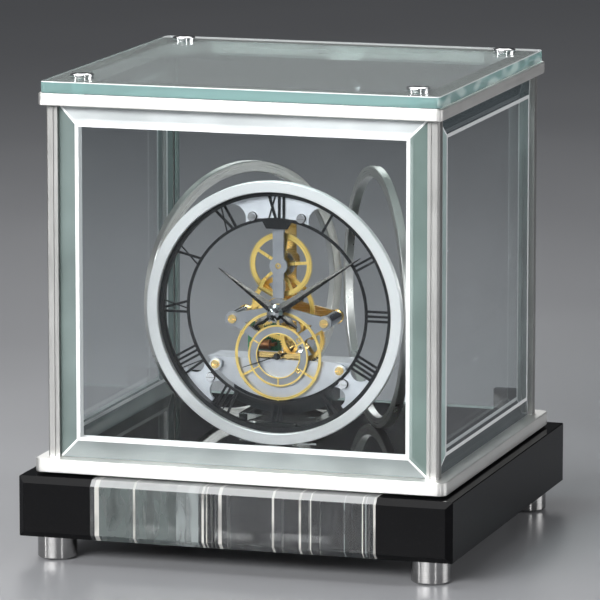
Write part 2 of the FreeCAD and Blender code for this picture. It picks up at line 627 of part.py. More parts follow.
def make_dial():
    """Pierced dial: deep outer rim, inner ring, roman numerals between them, a blank plaque."""
    plane = (d.dial_front, d.dial_back)
    rim_inner = d.rim_radius - d.rim_wall
    pieces = [tube("dial_rim", d.rim_radius, rim_inner, (d.rim_front, d.dial_back)),
              tube("chapter_ring", d.chapter_outer, d.chapter_inner, plane)]
    foot, head = d.chapter_outer - 0.6, rim_inner + 0.6
    for hour, text in enumerate(NUMERALS):
        degrees = 30.0 * hour
        for count, (low, high, width) in enumerate(numeral_strokes(hour, text)):
            across = math.radians(degrees)
            start, end = polar(foot, degrees), polar(head, degrees)
            start = (start[0] + low * math.cos(across), start[1] - low * math.sin(across))
            end = (end[0] + high * math.cos(across), end[1] - high * math.sin(across))
            pieces.append(strip("stroke_%d_%d" % (hour, count), start, end, width, plane))
    plaque = padded("plaque", "XZ_Plane", [[(-d.plaque_half, d.plaque_top), (-7.4, 44.2), (-5.4, 40.7),
                                            (5.4, 40.7), (7.4, 44.2), (d.plaque_half, d.plaque_top),
                                            (0.0, 46.0)]],
                    d.dial_back - d.dial_front)
    plaque.Placement.Base = at(0, d.dial_back, 0)
    pieces.append(plaque)
    tab = overlap("six_tab", [box("tab_blank", (-d.tab_half, d.tab_half),
                                  (d.rim_front + d.edge_break, d.dial_back), (-d.rim_radius, d.tab_top)),
                              disc("tab_limit", d.rim_radius, (d.rim_front, d.dial_back))])
    pieces.append(tab)
    holes, screws = [], []
    for degrees in DIAL_SCREWS:
        x, z = polar(d.dial_screw_at, degrees)
        number = degrees + 180
        pieces.append(disc("dial_lug_%d" % number, d.dial_screw_lug, plane, x, z))
        holes.append(disc("dial_hole_%d" % number, d.screw_shank, (plane[0] - 1.0, plane[1] + 1.0), x, z))
        screws.append(make_screw("dial_screw_%d" % number, x, z, d.dial_front,
                                 d.bracket_back - d.dial_front))
    keep("dial", cut("dial", fuse("dial_blank", pieces), holes), LIFT)
    keep("dial_screws", group("dial_screws", screws), LIFT)


def make_screw(name, x, z, seat, reach):
    """Slotted cheese-head screw driven in from the front; seat is the plane under its head."""
    top, half = seat - d.screw_head_high, d.screw_slot / 2
    head = disc(name + "_head", d.screw_head, (top, seat), x, z)
    shank = disc(name + "_shank", d.screw_shank, (seat, seat + reach), x, z)
    slot = box(name + "_slot", (x - 3.0, x + 3.0), (top - 0.5, top + d.slot_deep), (z - half, z + half))
    return cut(name, fuse(name + "_blank", [head, shank]), [slot])


def sector(name, radius, y, degrees, spread):
    """A pie slice along Y, its middle at degrees clockwise from twelve."""
    thing = disc(name, radius, y)
    bind(thing, Angle=spread)
    # the cylinder's own +X lies along the slice's first side
    side = FreeCAD.Rotation(V(0, 1, 0), degrees - 90.0 - spread / 2)
    thing.Placement = FreeCAD.Placement(at(0, y[0], 0), side.multiply(ALONG_Y))
    return thing


def crescent(name, degrees, spread, end_radius):
    """A curved strap behind the numerals with hollowed ends, drilled for the dial screws."""
    plane = (d.dial_back, d.bracket_back)
    blank = sector(name + "_slice", d.bracket_outer, plane, degrees, spread)
    tools = [disc(name + "_inner", d.bracket_inner, (plane[0] - 1.0, plane[1] + 1.0))]
    for end, side in ((degrees - spread / 2, "a"), (degrees + spread / 2, "b")):
        x, z = polar(d.bracket_outer - d.hollow_in, end)
        tools.append(disc(name + "_hollow_" + side, end_radius, (plane[0] - 1.0, plane[1] + 1.0), x, z))
    for hole in DIAL_SCREWS:
        if abs(hole - degrees) < spread / 2:
            x, z = polar(d.dial_screw_at, hole)
            tools.append(disc("%s_hole_%d" % (name, hole + 180), d.screw_shank,
                              (plane[0] - 1.0, plane[1] + 1.0), x, z))
    return blank, tools


def make_brackets():
    """Silver straps that join the dial to the movement."""
    blank, tools = crescent("top_bracket", 0.0, float(d.top_spread), d.top_hollow)
    keep("top_bracket", cut("top_bracket", blank, tools), LIFT)
    for name, side in (("left_bracket", -1), ("right_bracket", 1)):
        blank, tools = crescent(name, side * float(d.side_at), float(d.side_spread), d.side_hollow)
        x, z = side * d.cover_screw_x, d.cover_screw_z
        strap = cut(name + "_strap", blank, tools)
        lug = disc(name + "_lug", d.side_lug, (d.dial_back, d.bracket_back), x, z)
        web = strip(name + "_web", (x, z), (1.12 * x, 1.12 * z), d.side_web, (d.dial_back, d.bracket_back))
        boss = disc(name + "_boss", d.side_boss, (d.bracket_back, d.cover_front), x, z)
        hole = disc(name + "_drill", d.screw_shank, (d.dial_back - 1.0, d.cover_front + 1.0), x, z)
        keep(name, cut(name, fuse(name + "_body", [strap, lug, web, boss]), [hole]), LIFT)


def bridge_arms(prefix, y):
    """The hub and the two arms that run from it to the pillars."""
    pieces = [disc(prefix + "_hub", d.hub_radius, y)]
    for side, name in ((-1, "left"), (1, "right")):
        pieces.append(disc(prefix + "_lug_" + name, d.lug_radius, y, side * d.lug_x, d.lug_z))
        pieces.append(strip(prefix + "_arm_" + name, (0, 0), (side * d.lug_x, d.lug_z), d.arm_width, y))
    return pieces


def place_third():
    """The third arbor stands in mesh distance of both the centre wheel and the seconds pinion."""
    reach_centre = (TEETH["centre"] + TEETH["train_pinion"]) * float(d.centre_module) / 2
    reach_seconds = (TEETH["third"] + TEETH["train_pinion"]) * float(d.third_module) / 2
    drop = float(d.seconds_axis)
    z = (reach_centre ** 2 - reach_seconds ** 2 + drop ** 2) / (2 * drop)
    return math.sqrt(reach_centre ** 2 - z ** 2), z


THIRD_AT = place_third()
SECONDS_AT = (0.0, float(d.seconds_axis))
TOP_AT = (0.0, float(d.top_axis))
MOTION_AT = (float(d.motion_x), float(d.motion_z))


def jewel_hole(name, y, point):
    return disc(name, d.jewel_radius, (y[0] - 1.0, y[1] + 1.0), point[0], point[1])


def make_bridges():
    """Front bar, Y-shaped front bridge with its ring, and the brass rear plate."""
    front = (d.bracket_back, d.bridge_back)
    rear = (d.rear_front, d.rear_back)
    half = d.bar_width / 2
    bar = fuse("bar_blank", [box("bar_strip", (-half, half), front, (d.hub_radius + 0.1, d.bar_top)),
                             disc("bar_boss", d.bar_boss, front, 0, d.top_axis)])
    keep("front_bar", cut("front_bar", bar, [jewel_hole("bar_jewel_hole", front, TOP_AT)]), LIFT)

    pieces = bridge_arms("front_bridge", front)
    ring_z = d.seconds_axis
    for side, name in ((-1, "left"), (1, "right")):
        end = (side * float(d.leg_x), float(d.leg_z))
        pieces.append(strip("front_bridge_leg_" + name, (side * d.lug_x, d.lug_z), end, d.leg_width, front))
    pieces.append(disc("front_bridge_ring", d.small_ring_outer, front, 0, ring_z))
    pieces.append(disc("third_boss", d.third_boss, front, THIRD_AT[0], THIRD_AT[1]))
    stud_y = (d.bridge_back, d.motion_plane + d.wheel_thick + 0.6)
    stud = disc("motion_stud", d.motion_stud, stud_y, *MOTION_AT)
    tools = [disc("ring_window", d.small_ring_inner, (front[0] - 1.0, front[1] + 1.0), 0, ring_z),
             disc("pipe_hole", d.pipe_radius + d.running_gap, (front[0] - 1.0, front[1] + 1.0)),
             jewel_hole("third_front_jewel_hole", front, THIRD_AT)]
    for side, name in ((-1, "left"), (1, "right")):
        tools.append(disc("front_lug_hole_" + name, d.screw_shank, (front[0] - 1.0, front[1] + 1.0),
                          side * d.lug_x, d.lug_z))
    bridge = cut("front_bridge_plate", fuse("front_bridge_blank", pieces), tools)
    keep("front_bridge", fuse("front_bridge", [bridge, stud]), LIFT)

    pieces = bridge_arms("rear_plate", rear)
    pieces.append(box("rear_bar", (-half, half), rear, (0.0, d.rear_bar_top)))
    pieces.append(box("rear_tail", (-half, half), rear, (d.seconds_axis, 0.0)))
    pieces.append(disc("rear_seconds_boss", d.rear_boss, rear, *SECONDS_AT))
    pieces.append(disc("rear_third_boss", d.rear_boss, rear, *THIRD_AT))
    pieces.append(strip("rear_third_arm", (0, 0), THIRD_AT, d.leg_width, rear))
    pieces.append(disc("rear_top_boss", d.bar_boss, rear, *TOP_AT))
    tools = [jewel_hole("rear_hole_%d" % i, rear, point)
             for i, point in enumerate(((0, 0), TOP_AT, THIRD_AT, SECONDS_AT))]
    keep("rear_plate", cut("rear_plate", fuse("rear_plate_blank", pieces), tools), LIFT)


def make_pillars():
    """Turned pillars between the front and rear plates, tapped for the brass screws."""
    span = (d.bridge_back, d.rear_front)
    pillars, screws = [], []
    for name, x, z, radius in (("left", -d.lug_x, d.lug_z, d.pillar_radius),
                               ("right", d.lug_x, d.lug_z, d.pillar_radius),
                               ("top", 0.0, d.top_pillar_z, d.top_pillar_radius)):
        blank = disc("pillar_blank_" + name, radius, span, x, z)
        pillars.append(cut("pillar_" + name, blank, [
            disc("pillar_tap_" + name, d.screw_shank, (span[0] - 1.0, span[0] + 5.0), x, z)]))
    for name, side in (("left", -1), ("right", 1)):
        screws.append(make_screw("bridge_screw_" + name, side * d.lug_x, d.lug_z, d.bracket_back,
                                 d.bridge_back - d.bracket_back + 4.0))
        screws.append(make_screw("cover_screw_" + name, side * d.cover_screw_x, d.cover_screw_z,
                                 d.dial_back, d.cover_front + d.cover_wall - d.dial_back))
    keep("pillars", group("pillars", pillars), LIFT)
    keep("bridge_screws", group("bridge_screws", screws), LIFT)


def make_jewels():
    """Bearing rings pressed into the plates and the seconds cock."""
    front = (d.bracket_back, d.bridge_back)
    rear = (d.rear_front, d.rear_back)
    cock = (d.bridge_back, d.bridge_back + d.cock_thick)
    seats = [("front_top", front, TOP_AT, d.jewel_bore), ("front_third", front, THIRD_AT, d.jewel_bore),
             ("cock", cock, SECONDS_AT, d.pivot_radius + 0.15),
             ("rear_top", rear, TOP_AT, d.jewel_bore), ("rear_third", rear, THIRD_AT, d.jewel_bore),
             ("rear_seconds", rear, SECONDS_AT, d.jewel_bore),
             ("rear_centre", rear, (0.0, 0.0), d.arbor_radius + d.running_gap)]
    outer = {"cock": d.cock_jewel}
    jewels = [tube("jewel_" + name, outer.get(name, d.jewel_radius), bore, y, point[0], point[1])
              for name, y, point, bore in seats]
    keep("jewels", group("jewels", jewels), LIFT)


def make_seconds_cock():
    """Gilt cross-piece behind the bridge's ring that carries the seconds arbor."""
    y = (d.bridge_back, d.bridge_back + d.cock_thick)
    z, half = d.seconds_axis, d.cock_width / 2
    pieces = [box("cock_arm", (-d.cock_half, d.cock_half), y, (z - half, z + half)),
              disc("cock_boss", d.cock_boss, y, 0, z)]
    hole = disc("cock_hole", d.cock_jewel, (y[0] - 1.0, y[1] + 1.0), 0, z)
    keep("seconds_cock", cut("seconds_cock", fuse("cock_blank", pieces), [hole]), LIFT)


def make_seconds_chapter():
    """Gilt seconds dial: three thin rings joined by short arms, with small round studs."""
    y = (d.bracket_back - d.seconds_thick, d.bracket_back)
    x, z = SECONDS_AT
    pieces = [tube("seconds_outer", 22.0, 20.6, y, x, z), tube("seconds_middle", 15.3, 14.4, y, x, z),
              tube("seconds_inner", 11.3, 10.7, y, x, z)]
    for degrees in (0.0, 120.0, 240.0):
        reach = polar(21.0, degrees)
        root = polar(14.8, degrees)
        pieces.append(strip("seconds_arm_%d" % degrees, (root[0] + x, root[1] + z),
                            (reach[0] + x, reach[1] + z), d.seconds_arm, y))
    pieces.append(disc("seconds_eye", d.pipe_radius + 1.4, y))
    for degrees in range(60, 360, 60):
        spot = polar(21.3, degrees)
        pieces.append(disc("seconds_stud_%d" % degrees, d.seconds_stud, y, spot[0] + x, spot[1] + z))
        spoke = (polar(11.0, degrees), polar(14.8, degrees))
        pieces.append(strip("seconds_link_%d" % degrees, (spoke[0][0] + x, spoke[0][1] + z),
                            (spoke[1][0] + x, spoke[1][1] + z), d.seconds_link, y))
    pipe_way = disc("seconds_eye_hole", d.pipe_radius + 0.2, (y[0] - 1.0, y[1] + 1.0))
    keep("seconds_chapter", cut("seconds_chapter", fuse("seconds_blank", pieces), [pipe_way]), LIFT)


def make_cover():
    """Polished lower cover: a circle segment with a shelf along its chord, cut away for the wheels."""
    top, wall, front = d.cover_top, d.cover_wall, d.cover_front
    plate_back = front + wall
    wide = d.cover_radius + 1.0
    plate = overlap("cover_plate", [disc("cover_round", d.cover_radius, (front, plate_back)),
                                    box("cover_half", (-wide, wide), (front, plate_back), (-wide, top))])
    edge_y = (plate_back, d.cover_edge_back)
    edge = cut("cover_edge", overlap("cover_edge_blank", [
        disc("cover_edge_round", d.cover_radius, edge_y),
        box("cover_edge_half", (-wide, wide), edge_y, (-wide, top))]), [
        disc("cover_edge_inner", d.cover_radius - wall, (plate_back - 0.1, d.cover_edge_back + 1.0))])
    reach = math.sqrt(float(d.cover_radius) ** 2 - float(top - wall) ** 2) - 0.3
    shelf_y = (plate_back, d.shelf_back)
    shelves = [box("left_shelf", (-reach, d.shelf_left), shelf_y, (top - wall, top)),
               box("right_shelf", (d.shelf_right, reach), shelf_y, (top - wall, top))]
    holes = [disc("cover_hole_" + name, d.screw_shank, (front - 1.0, plate_back + 1.0),
                  side * d.cover_screw_x, d.cover_screw_z) for name, side in (("left", -1), ("right", 1))]
    keep("lower_cover", cut("lower_cover", fuse("cover_blank", [plate, edge] + shelves), holes), LIFT)


def make_housing():
    """Black housing behind the cover, standing on the pedestal, with an open battery bay at the back."""
    y = (d.housing_front, d.housing_back)
    half, top = d.housing_half, d.housing_top
    foot = d.block_high - d.ring_radius
    blank = overlap("housing_blank", [disc("housing_round", d.housing_radius, y),
                                      box("housing_box", (-half, half), y, (foot, top))])
    bay_x, bay_z = half - d.bay_wall, d.battery_radius + d.bay_play
    bay = box("battery_bay", (-bay_x, bay_x), (d.bay_front, d.housing_back + 1.0),
              (d.battery_z - bay_z, d.battery_z + bay_z))
    keep("housing", cut("housing", blank, [bay]), LIFT)
    middle = d.bay_front + d.cell_gap + d.battery_radius
    can = cross_pin("battery_can", d.battery_radius, (-d.battery_long / 2, d.battery_long / 2 - 1.0),
                    middle, d.battery_z)
    cap = cross_pin("battery_cap", d.cell_cap, (d.battery_long / 2 - 1.0, d.battery_long / 2), middle,
                    d.battery_z)
    keep("battery", fuse("battery", [can, cap]), LIFT)


def make_drive():
    """Circuit board on the rear plate with the motor's coil and its core standing in front of it."""
    board = box("board_plate", (d.board_left, d.board_right), (d.board_front, d.rear_front),
                (d.board_low, d.board_high))
    keep("circuit_board", board,
         FreeCAD.Placement(at(d.board_left, d.board_front, dial_z + d.board_low), FreeCAD.Rotation()))
    half, y, z = d.coil_half, d.coil_y, d.coil_z
    core_z, foot_y = (z - half, z + half), (y - half, d.board_front)
    core = box("coil_core", (d.coil_left, d.coil_right), (y - half, y + half), core_z)
    feet = [box("core_foot_a", (d.coil_left, d.coil_left + d.coil_foot), foot_y, core_z),
            box("core_foot_b", (d.coil_right - d.coil_foot, d.coil_right), foot_y, core_z)]
    winding = cross_pin("winding", d.coil_radius, (d.coil_left + d.coil_cheek, d.coil_right - d.coil_cheek),
                        y, z)
    keep("drive_coil", fuse("drive_coil", [core, winding] + feet), LIFT)


# ---------------------------------------------------------------- wheels and hands

class Toothing:
    """Where a wheel's teeth stand: its centre, tooth count, pitch radius and first tooth's angle."""

    def __init__(self, centre, teeth, module, first):
        self.centre, self.teeth, self.module, self.first = centre, teeth, float(module), first
        self.pitch_radius = teeth * self.module / 2

    def partner(self, centre, teeth):
        """The toothing at another centre whose gap meets this one's tooth on the line of centres."""
        along = math.atan2(centre[1] - self.centre[1], centre[0] - self.centre[0])
        step = 2 * math.pi / self.teeth
        off_line = self.first - along
        off_line -= step * round(off_line / step)
        first = along + math.pi - off_line * self.teeth / teeth + math.pi / teeth
        return Toothing(centre, teeth, self.module, first)


def toothed(name, toothing, y):
    """A toothed disc with straight-flanked teeth, generous gaps and rounded-off tips."""
    module, teeth = toothing.module, toothing.teeth
    step = 2 * math.pi / teeth
    root = toothing.pitch_radius - 1.25 * module
    tip = toothing.pitch_radius + 0.8 * module
    points = []
    for tooth in range(teeth):
        middle = toothing.first + tooth * step
        for radius, share in ((root, -0.30), (toothing.pitch_radius, -0.20), (tip, -0.09),
                              (tip, 0.09), (toothing.pitch_radius, 0.20), (root, 0.30)):
            angle = middle + share * step
            points.append(V(radius * math.cos(angle), 0, radius * math.sin(angle)))
    face = Part.Face(Part.makePolygon(points + [points[0]]))
    thing = doc.addObject("Part::Feature", name)
    thing.Shape = face.extrude(V(0, float(y[1]) - float(y[0]), 0))
    thing.Placement.Base = at(toothing.centre[0], y[0], toothing.centre[1])
    return thing


def spoked(name, toothing, y, rim, hub, bore, spokes, first_spoke):
    """A toothed wheel with a rim, a hub and straight spokes."""
    x, z = toothing.centre
    inner = toothing.pitch_radius - 1.25 * toothing.module - float(rim)
    through = (y[0] - 1.0, y[1] + 1.0)
    blank = cut(name + "_rim", toothed(name + "_teeth", toothing, y), [
        disc(name + "_window", inner, through, x, z)])
    pieces = [blank, disc(name + "_hub", hub, y, x, z)]
    for spoke in range(spokes):
        angle = math.radians(first_spoke + spoke * 360.0 / spokes)
        start = (x + 0.5 * float(hub) * math.cos(angle), z + 0.5 * float(hub) * math.sin(angle))
        end = (x + (inner + 0.5) * math.cos(angle), z + (inner + 0.5) * math.sin(angle))
        pieces.append(strip("%s_spoke_%d" % (name, spoke), start, end, d.spoke_width, y))
    return cut(name, fuse(name + "_blank", pieces), [disc(name + "_bore", bore, through, x, z)])


def slab(plane, thick=None):
    return plane, plane + (d.wheel_thick if thick is None else thick)


def arbor(name, toothing, pinion_y, span, pivots):
    """Steel arbor with its pinion; pivots are the reduced ends that run in the jewels."""
    x, z = toothing.centre
    return fuse(name, [toothed(name + "_leaves", toothing, pinion_y),
                       disc(name + "_shaft", d.arbor_radius, span, x, z),
                       disc(name + "_pivots", d.pivot_radius, pivots, x, z)])


def make_train():
    """Centre, top, third and seconds wheels with their arbors, all in mesh at rest."""
    centre = Toothing((0.0, 0.0), TEETH["centre"], d.centre_module, math.radians(90.0))
    third_pinion = centre.partner(THIRD_AT, TEETH["train_pinion"])
    top_pinion = centre.partner(TOP_AT, TEETH["top_pinion"])
    third = Toothing(THIRD_AT, TEETH["third"], d.third_module, math.radians(90.0))
    seconds_pinion = third.partner(SECONDS_AT, TEETH["train_pinion"])
    top = Toothing(TOP_AT, TEETH["top"], 0.33, math.radians(90.0))

    keep("centre_wheel", spoked("centre_wheel", centre, slab(d.centre_plane), d.wheel_rim, 3.4,
                                d.cannon_radius, 5, 54.0), LIFT)
    keep("third_wheel", spoked("third_wheel", third, slab(d.third_plane), d.wheel_rim, 2.6,
                               d.arbor_radius, 5, 20.0), LIFT)
    keep("top_wheel", spoked("top_wheel", top, slab(d.top_plane), 2.2, 3.0, d.arbor_radius, 5, 6.0), LIFT)

    pinion_y = (d.centre_plane - 0.3, d.centre_plane + d.wheel_thick + 0.3)
    play = 0.3
    shaft = (d.bridge_back + play, d.rear_front - play)
    pivots = (d.bracket_back + 0.1, d.rear_back - 0.1)
    keep("third_arbor", arbor("third_arbor", third_pinion, pinion_y, shaft, pivots), LIFT)
    keep("top_arbor", arbor("top_arbor", top_pinion, pinion_y, shaft, pivots), LIFT)
    seconds_y = (d.third_plane - 0.2, d.third_plane + d.wheel_thick + 0.2)
    seconds_shaft = (d.bridge_back + d.cock_thick + play, d.rear_front - play)
    seconds_pivots = (d.seconds_hub_front + 0.1, d.rear_back - 0.1)
    keep("seconds_arbor", arbor("seconds_arbor", seconds_pinion, seconds_y, seconds_shaft,
                                seconds_pivots), LIFT)


def make_motion_works():
    """Cannon pinion on the centre arbor, motion wheel on its stud, hour wheel on its pipe."""
    toward_motion = math.atan2(MOTION_AT[1], MOTION_AT[0])
    cannon = Toothing((0.0, 0.0), TEETH["cannon"], d.motion_module, toward_motion)
    motion = cannon.partner(MOTION_AT, TEETH["motion"])
    pinion = Toothing(MOTION_AT, TEETH["motion_pinion"], d.hour_module, toward_motion + math.pi)
    hour = pinion.partner((0.0, 0.0), TEETH["hour"])

    cannon_y = (d.motion_plane - 0.1, d.motion_plane + d.wheel_thick + 0.1)
    shaft = fuse("centre_arbor_body", [
        toothed("cannon_leaves", cannon, cannon_y),
        disc("cannon_tube", d.cannon_radius, (d.cannon_front, d.centre_plane + 1.4)),
        disc("centre_shaft", d.arbor_radius, (d.centre_plane + 1.0, d.arbor_back))])
    keep("centre_arbor", shaft, LIFT)

    bore = d.motion_stud + d.running_gap
    x, z = MOTION_AT
    hour_y = slab(d.hour_plane)
    leaves = toothed("motion_leaves", pinion, (d.hour_plane - 0.1, d.motion_plane))
    wheel = toothed("motion_teeth", motion, slab(d.motion_plane))
    windows = []
    for turn in range(5):
        px, pz = polar(4.1, 72.0 * turn)
        windows.append(disc("motion_window_%d" % turn, 1.25, (d.motion_plane - 0.5, d.motion_plane + 1.5),
                            x + px, z + pz))
    blank = fuse("motion_blank", [cut("motion_disc", wheel, windows), leaves])
    keep("motion_wheel", cut("motion_wheel", blank, [disc("motion_bore", bore, (-30.0, -25.0), x, z)]), LIFT)

    pipe_bore = d.cannon_radius + d.running_gap
    disc_teeth = toothed("hour_teeth", hour, hour_y)
    pipe = disc("hour_pipe", d.pipe_radius, (d.hour_hand_back - d.hand_ridge, d.hour_plane + d.wheel_thick))
    keep("hour_wheel", cut("hour_wheel", fuse("hour_blank", [disc_teeth, pipe]), [
        disc("hour_bore", pipe_bore, (-36.0, -27.0))]), LIFT)


def triangle(half_width, radius, back, ridge, edge):
    """A roof-shaped section across a hand: flat back, thin edges, a ridge in front."""
    points = [V(-half_width, back, radius), V(-half_width, back - edge, radius), V(0, back - ridge, radius),
              V(half_width, back - edge, radius), V(half_width, back, radius)]
    return Part.makePolygon(points + [points[0]])


def blade(long, tail, wide, tail_wide, back):
    """A ridged lance: widest by its hub, drawn to a point in front and narrowed behind."""
    back, ridge, edge = float(back), float(d.hand_ridge), float(d.hand_edge)
    front = Part.makeLoft([triangle(wide / 2, 3.1, back, ridge, edge),
                           triangle(0.18, long, back, 0.3, edge)], True, True)
    middle = Part.makeLoft([triangle(1.1, -2.9, back, ridge, edge),
                            triangle(wide / 2, 3.1, back, ridge, edge)], True, True)
    rear = Part.makeLoft([triangle(0.5, -tail, back, 0.35, edge),
                          triangle(tail_wide / 2, -tail * 0.62, back, ridge, edge)], True, True)
    neck = Part.makeLoft([triangle(tail_wide / 2, -tail * 0.62, back, ridge, edge),
                          triangle(1.1, -2.9, back, ridge, edge)], True, True)
    return front.fuse([middle, rear, neck]).removeSplitter()


def make_hand(name, long, back, boss_radius, bore, degrees):
    """A hand with a round boss, turned to where it points at rest."""
    shape = blade(float(long), float(d.hand_tail), float(d.hand_width), float(d.tail_width), back)
    thing = doc.addObject("Part::Feature", name + "_blade")
    thing.Shape = shape
    boss = tube(name + "_boss", boss_radius, bore, (back - d.hand_ridge, back))
    clear = disc(name + "_clear", boss_radius - 0.4, (back - 2.0, back + 1.0))
    hand = fuse(name, [cut(name + "_open", thing, [clear]), boss])
    keep(name, hand, FreeCAD.Placement(at(0, 0, dial_z), FreeCAD.Rotation(V(0, 1, 0), float(degrees))))


def make_hands():
    """Hour, minute and seconds hands, the cap over the hub and the setting knob behind."""
    make_hand("hour_hand", d.hour_hand_long, d.hour_hand_back, 3.7, d.pipe_radius, d.hour_angle)
    make_hand("minute_hand", d.minute_hand_long, d.minute_hand_back, 3.6, d.cannon_radius, d.minute_angle)

    back = float(d.seconds_hand_back)
    needle = Part.makeLoft([triangle(0.45, -5.0, back, 0.35, 0.1),
                            triangle(0.16, float(d.seconds_hand_long), back, 0.3, 0.1)], True, True)
    blade_piece = doc.addObject("Part::Feature", "needle")
    blade_piece.Shape = needle
    hub = disc("needle_hub", d.seconds_hub, (d.seconds_hub_front, d.seconds_hub_back))
    drill = disc("needle_drill", d.pivot_radius, (d.seconds_hub_front + 0.1, d.seconds_hub_back + 0.5))
    hand = cut("seconds_hand", fuse("needle_blank", [blade_piece, hub]), [drill])
    turn = FreeCAD.Rotation(V(0, 1, 0), float(d.seconds_angle))
    keep("seconds_hand", hand, FreeCAD.Placement(at(0, 0, dial_z + d.seconds_axis), turn))

    seat = d.minute_hand_back - d.hand_ridge
    cap = turned("hand_cap", "XY_Plane",
                 [(0.0, d.cannon_front), (d.cannon_radius, d.cannon_front), (d.cannon_radius, seat),
                  (d.cap_flange, seat), (d.cap_flange, seat - 0.5), (2.6, d.cap_front + 0.8),
                  (1.0, d.cap_front), (0.0, d.cap_front)])
    keep("hand_cap", cap, LIFT)
    body = turned("knob_blank", "XY_Plane",
                  [(0.0, d.arbor_back), (d.arbor_radius, d.arbor_back), (d.arbor_radius, d.knob_front - 0.8),
                   (2.4, d.knob_front - 0.8), (2.4, d.knob_front), (d.knob_radius, d.knob_front),
                   (d.knob_radius, d.knob_back - 0.5), (d.knob_radius - 0.5, d.knob_back),
                   (0.0, d.knob_back)])
    flute_y = (d.knob_front - 0.4, d.knob_back + 0.5)
    flutes = [disc("flute_%d" % turn, d.flute_radius, flute_y, *polar(d.knob_radius + 0.15, 20.0 * turn))
              for turn in range(18)]
    keep("setting_knob", cut("setting_knob", body, flutes), LIFT)


# ---------------------------------------------------------------- build, check, write

def check_and_write():
    doc.recompute()
    for thing in doc.Objects:
        bad = {"Invalid", "Error"} & set(thing.State)
        if bad:
            raise RuntimeError("%s: %s" % (thing.Name, thing.getStatusString()))
    os.makedirs("parts", exist_ok=True)
    for node in NODES:
        shape = node.Shape
        if shape.isNull() or not shape.isValid() or not shape.Solids:
            raise RuntimeError(node.Label + " has no valid solid")
        shape.exportStep("parts/%s.step" % node.Label)
    print("%d nodes written" % len(NODES))


make_base()
make_crystal()
make_feet()
make_floor()
make_lower_band()
make_upper_band()
make_posts()
make_panes()
make_door()
make_top()
make_rings()
make_pedestal()
make_dial()
make_brackets()
make_bridges()
make_pillars()
make_jewels()
make_seconds_cock()
make_seconds_chapter()
make_cover()
make_housing()
make_drive()
make_train()
make_motion_works()
make_hands()
check_and_write()
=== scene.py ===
import math

import bpy
from mathutils import Matrix, Vector


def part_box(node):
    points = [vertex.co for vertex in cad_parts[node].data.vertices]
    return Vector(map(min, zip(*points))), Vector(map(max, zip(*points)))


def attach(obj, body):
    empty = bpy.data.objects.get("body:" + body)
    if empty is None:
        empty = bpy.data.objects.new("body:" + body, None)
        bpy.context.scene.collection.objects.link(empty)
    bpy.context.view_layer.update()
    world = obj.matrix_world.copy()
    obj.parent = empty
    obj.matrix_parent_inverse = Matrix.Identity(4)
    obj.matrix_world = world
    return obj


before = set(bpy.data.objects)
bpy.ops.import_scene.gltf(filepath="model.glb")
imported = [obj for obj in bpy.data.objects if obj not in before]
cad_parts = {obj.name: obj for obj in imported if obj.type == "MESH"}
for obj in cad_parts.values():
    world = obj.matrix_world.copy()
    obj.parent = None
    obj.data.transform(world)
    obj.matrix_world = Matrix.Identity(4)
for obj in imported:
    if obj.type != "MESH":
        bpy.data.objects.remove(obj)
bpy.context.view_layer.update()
bpy.ops.object.select_all(action="DESELECT")

# ---- Camera -------------------------------------------------------------------------------------
# A long lens a little above the clock and to its right, looking down at it without any roll.
AROUND = math.radians(17.27)
ABOVE = math.radians(9.68)
CAMERA_PLACE = (0.7888, -2.5322, 0.5687)
FILM_WIDE, LENS_LONG = 36.0, 328.1
FARTHEST_SEEN = 60.0
camera_data = bpy.data.cameras.new("camera")
camera_data.sensor_width = FILM_WIDE
camera_data.lens = LENS_LONG
camera_data.clip_end = FARTHEST_SEEN
camera = bpy.data.objects.new("camera", camera_data)
bpy.context.scene.collection.objects.link(camera)
back = Vector((math.sin(AROUND) * math.cos(ABOVE), -math.cos(AROUND) * math.cos(ABOVE), math.sin(ABOVE)))
right = Vector((math.cos(AROUND), math.sin(AROUND), 0.0))
up = back.cross(right)
camera_turn = Matrix((right, up, back)).transposed().to_4x4()
camera.matrix_world = Matrix.Translation(CAMERA_PLACE) @ camera_turn
bpy.context.scene.camera = camera
bpy.context.scene.view_settings.view_transform = "Standard"

# ---- Studio -------------------------------------------------------------------------------------
# A plain pale floor, four soft boxes, two narrow strips and a sky that is darker near the horizon,
# so that polished metal has something to mirror. None of it belongs to the clock.


def material_of(name, colour, metallic=0.0, roughness=0.4, **sockets):
    """A Principled material with its plain values set on the shader itself."""
    made = bpy.data.materials.new(name)
    made.use_nodes = True
    shader = made.node_tree.nodes["Principled BSDF"]
    shader.inputs["Base Color"].default_value = (*colour, 1.0)
    shader.inputs["Metallic"].default_value = metallic
    shader.inputs["Roughness"].default_value = roughness
    for socket, value in sockets.items():
        shader.inputs[socket.replace("_", " ")].default_value = value
    return made


def node_in(made, kind, **settings):
    """A new node with its settings, and any listed inputs set or linked."""
    node = made.node_tree.nodes.new("ShaderNode" + kind)
    inputs = settings.pop("inputs", {})
    for key, value in settings.items():
        setattr(node, key, value)
    for key, value in inputs.items():
        if isinstance(value, bpy.types.NodeSocket):
            made.node_tree.links.new(value, node.inputs[key])
        else:
            node.inputs[key].default_value = value
    return node


def own_place(made, scale=(1.0, 1.0, 1.0), move=(0.0, 0.0, 0.0)):
    """The piece's own coordinates, scaled after they are moved."""
    place = node_in(made, "TexCoord").outputs["Object"]
    moved = node_in(made, "VectorMath", operation="ADD", inputs={0: place, 1: move}).outputs[0]
    return node_in(made, "VectorMath", operation="MULTIPLY", inputs={0: moved, 1: scale}).outputs[0]


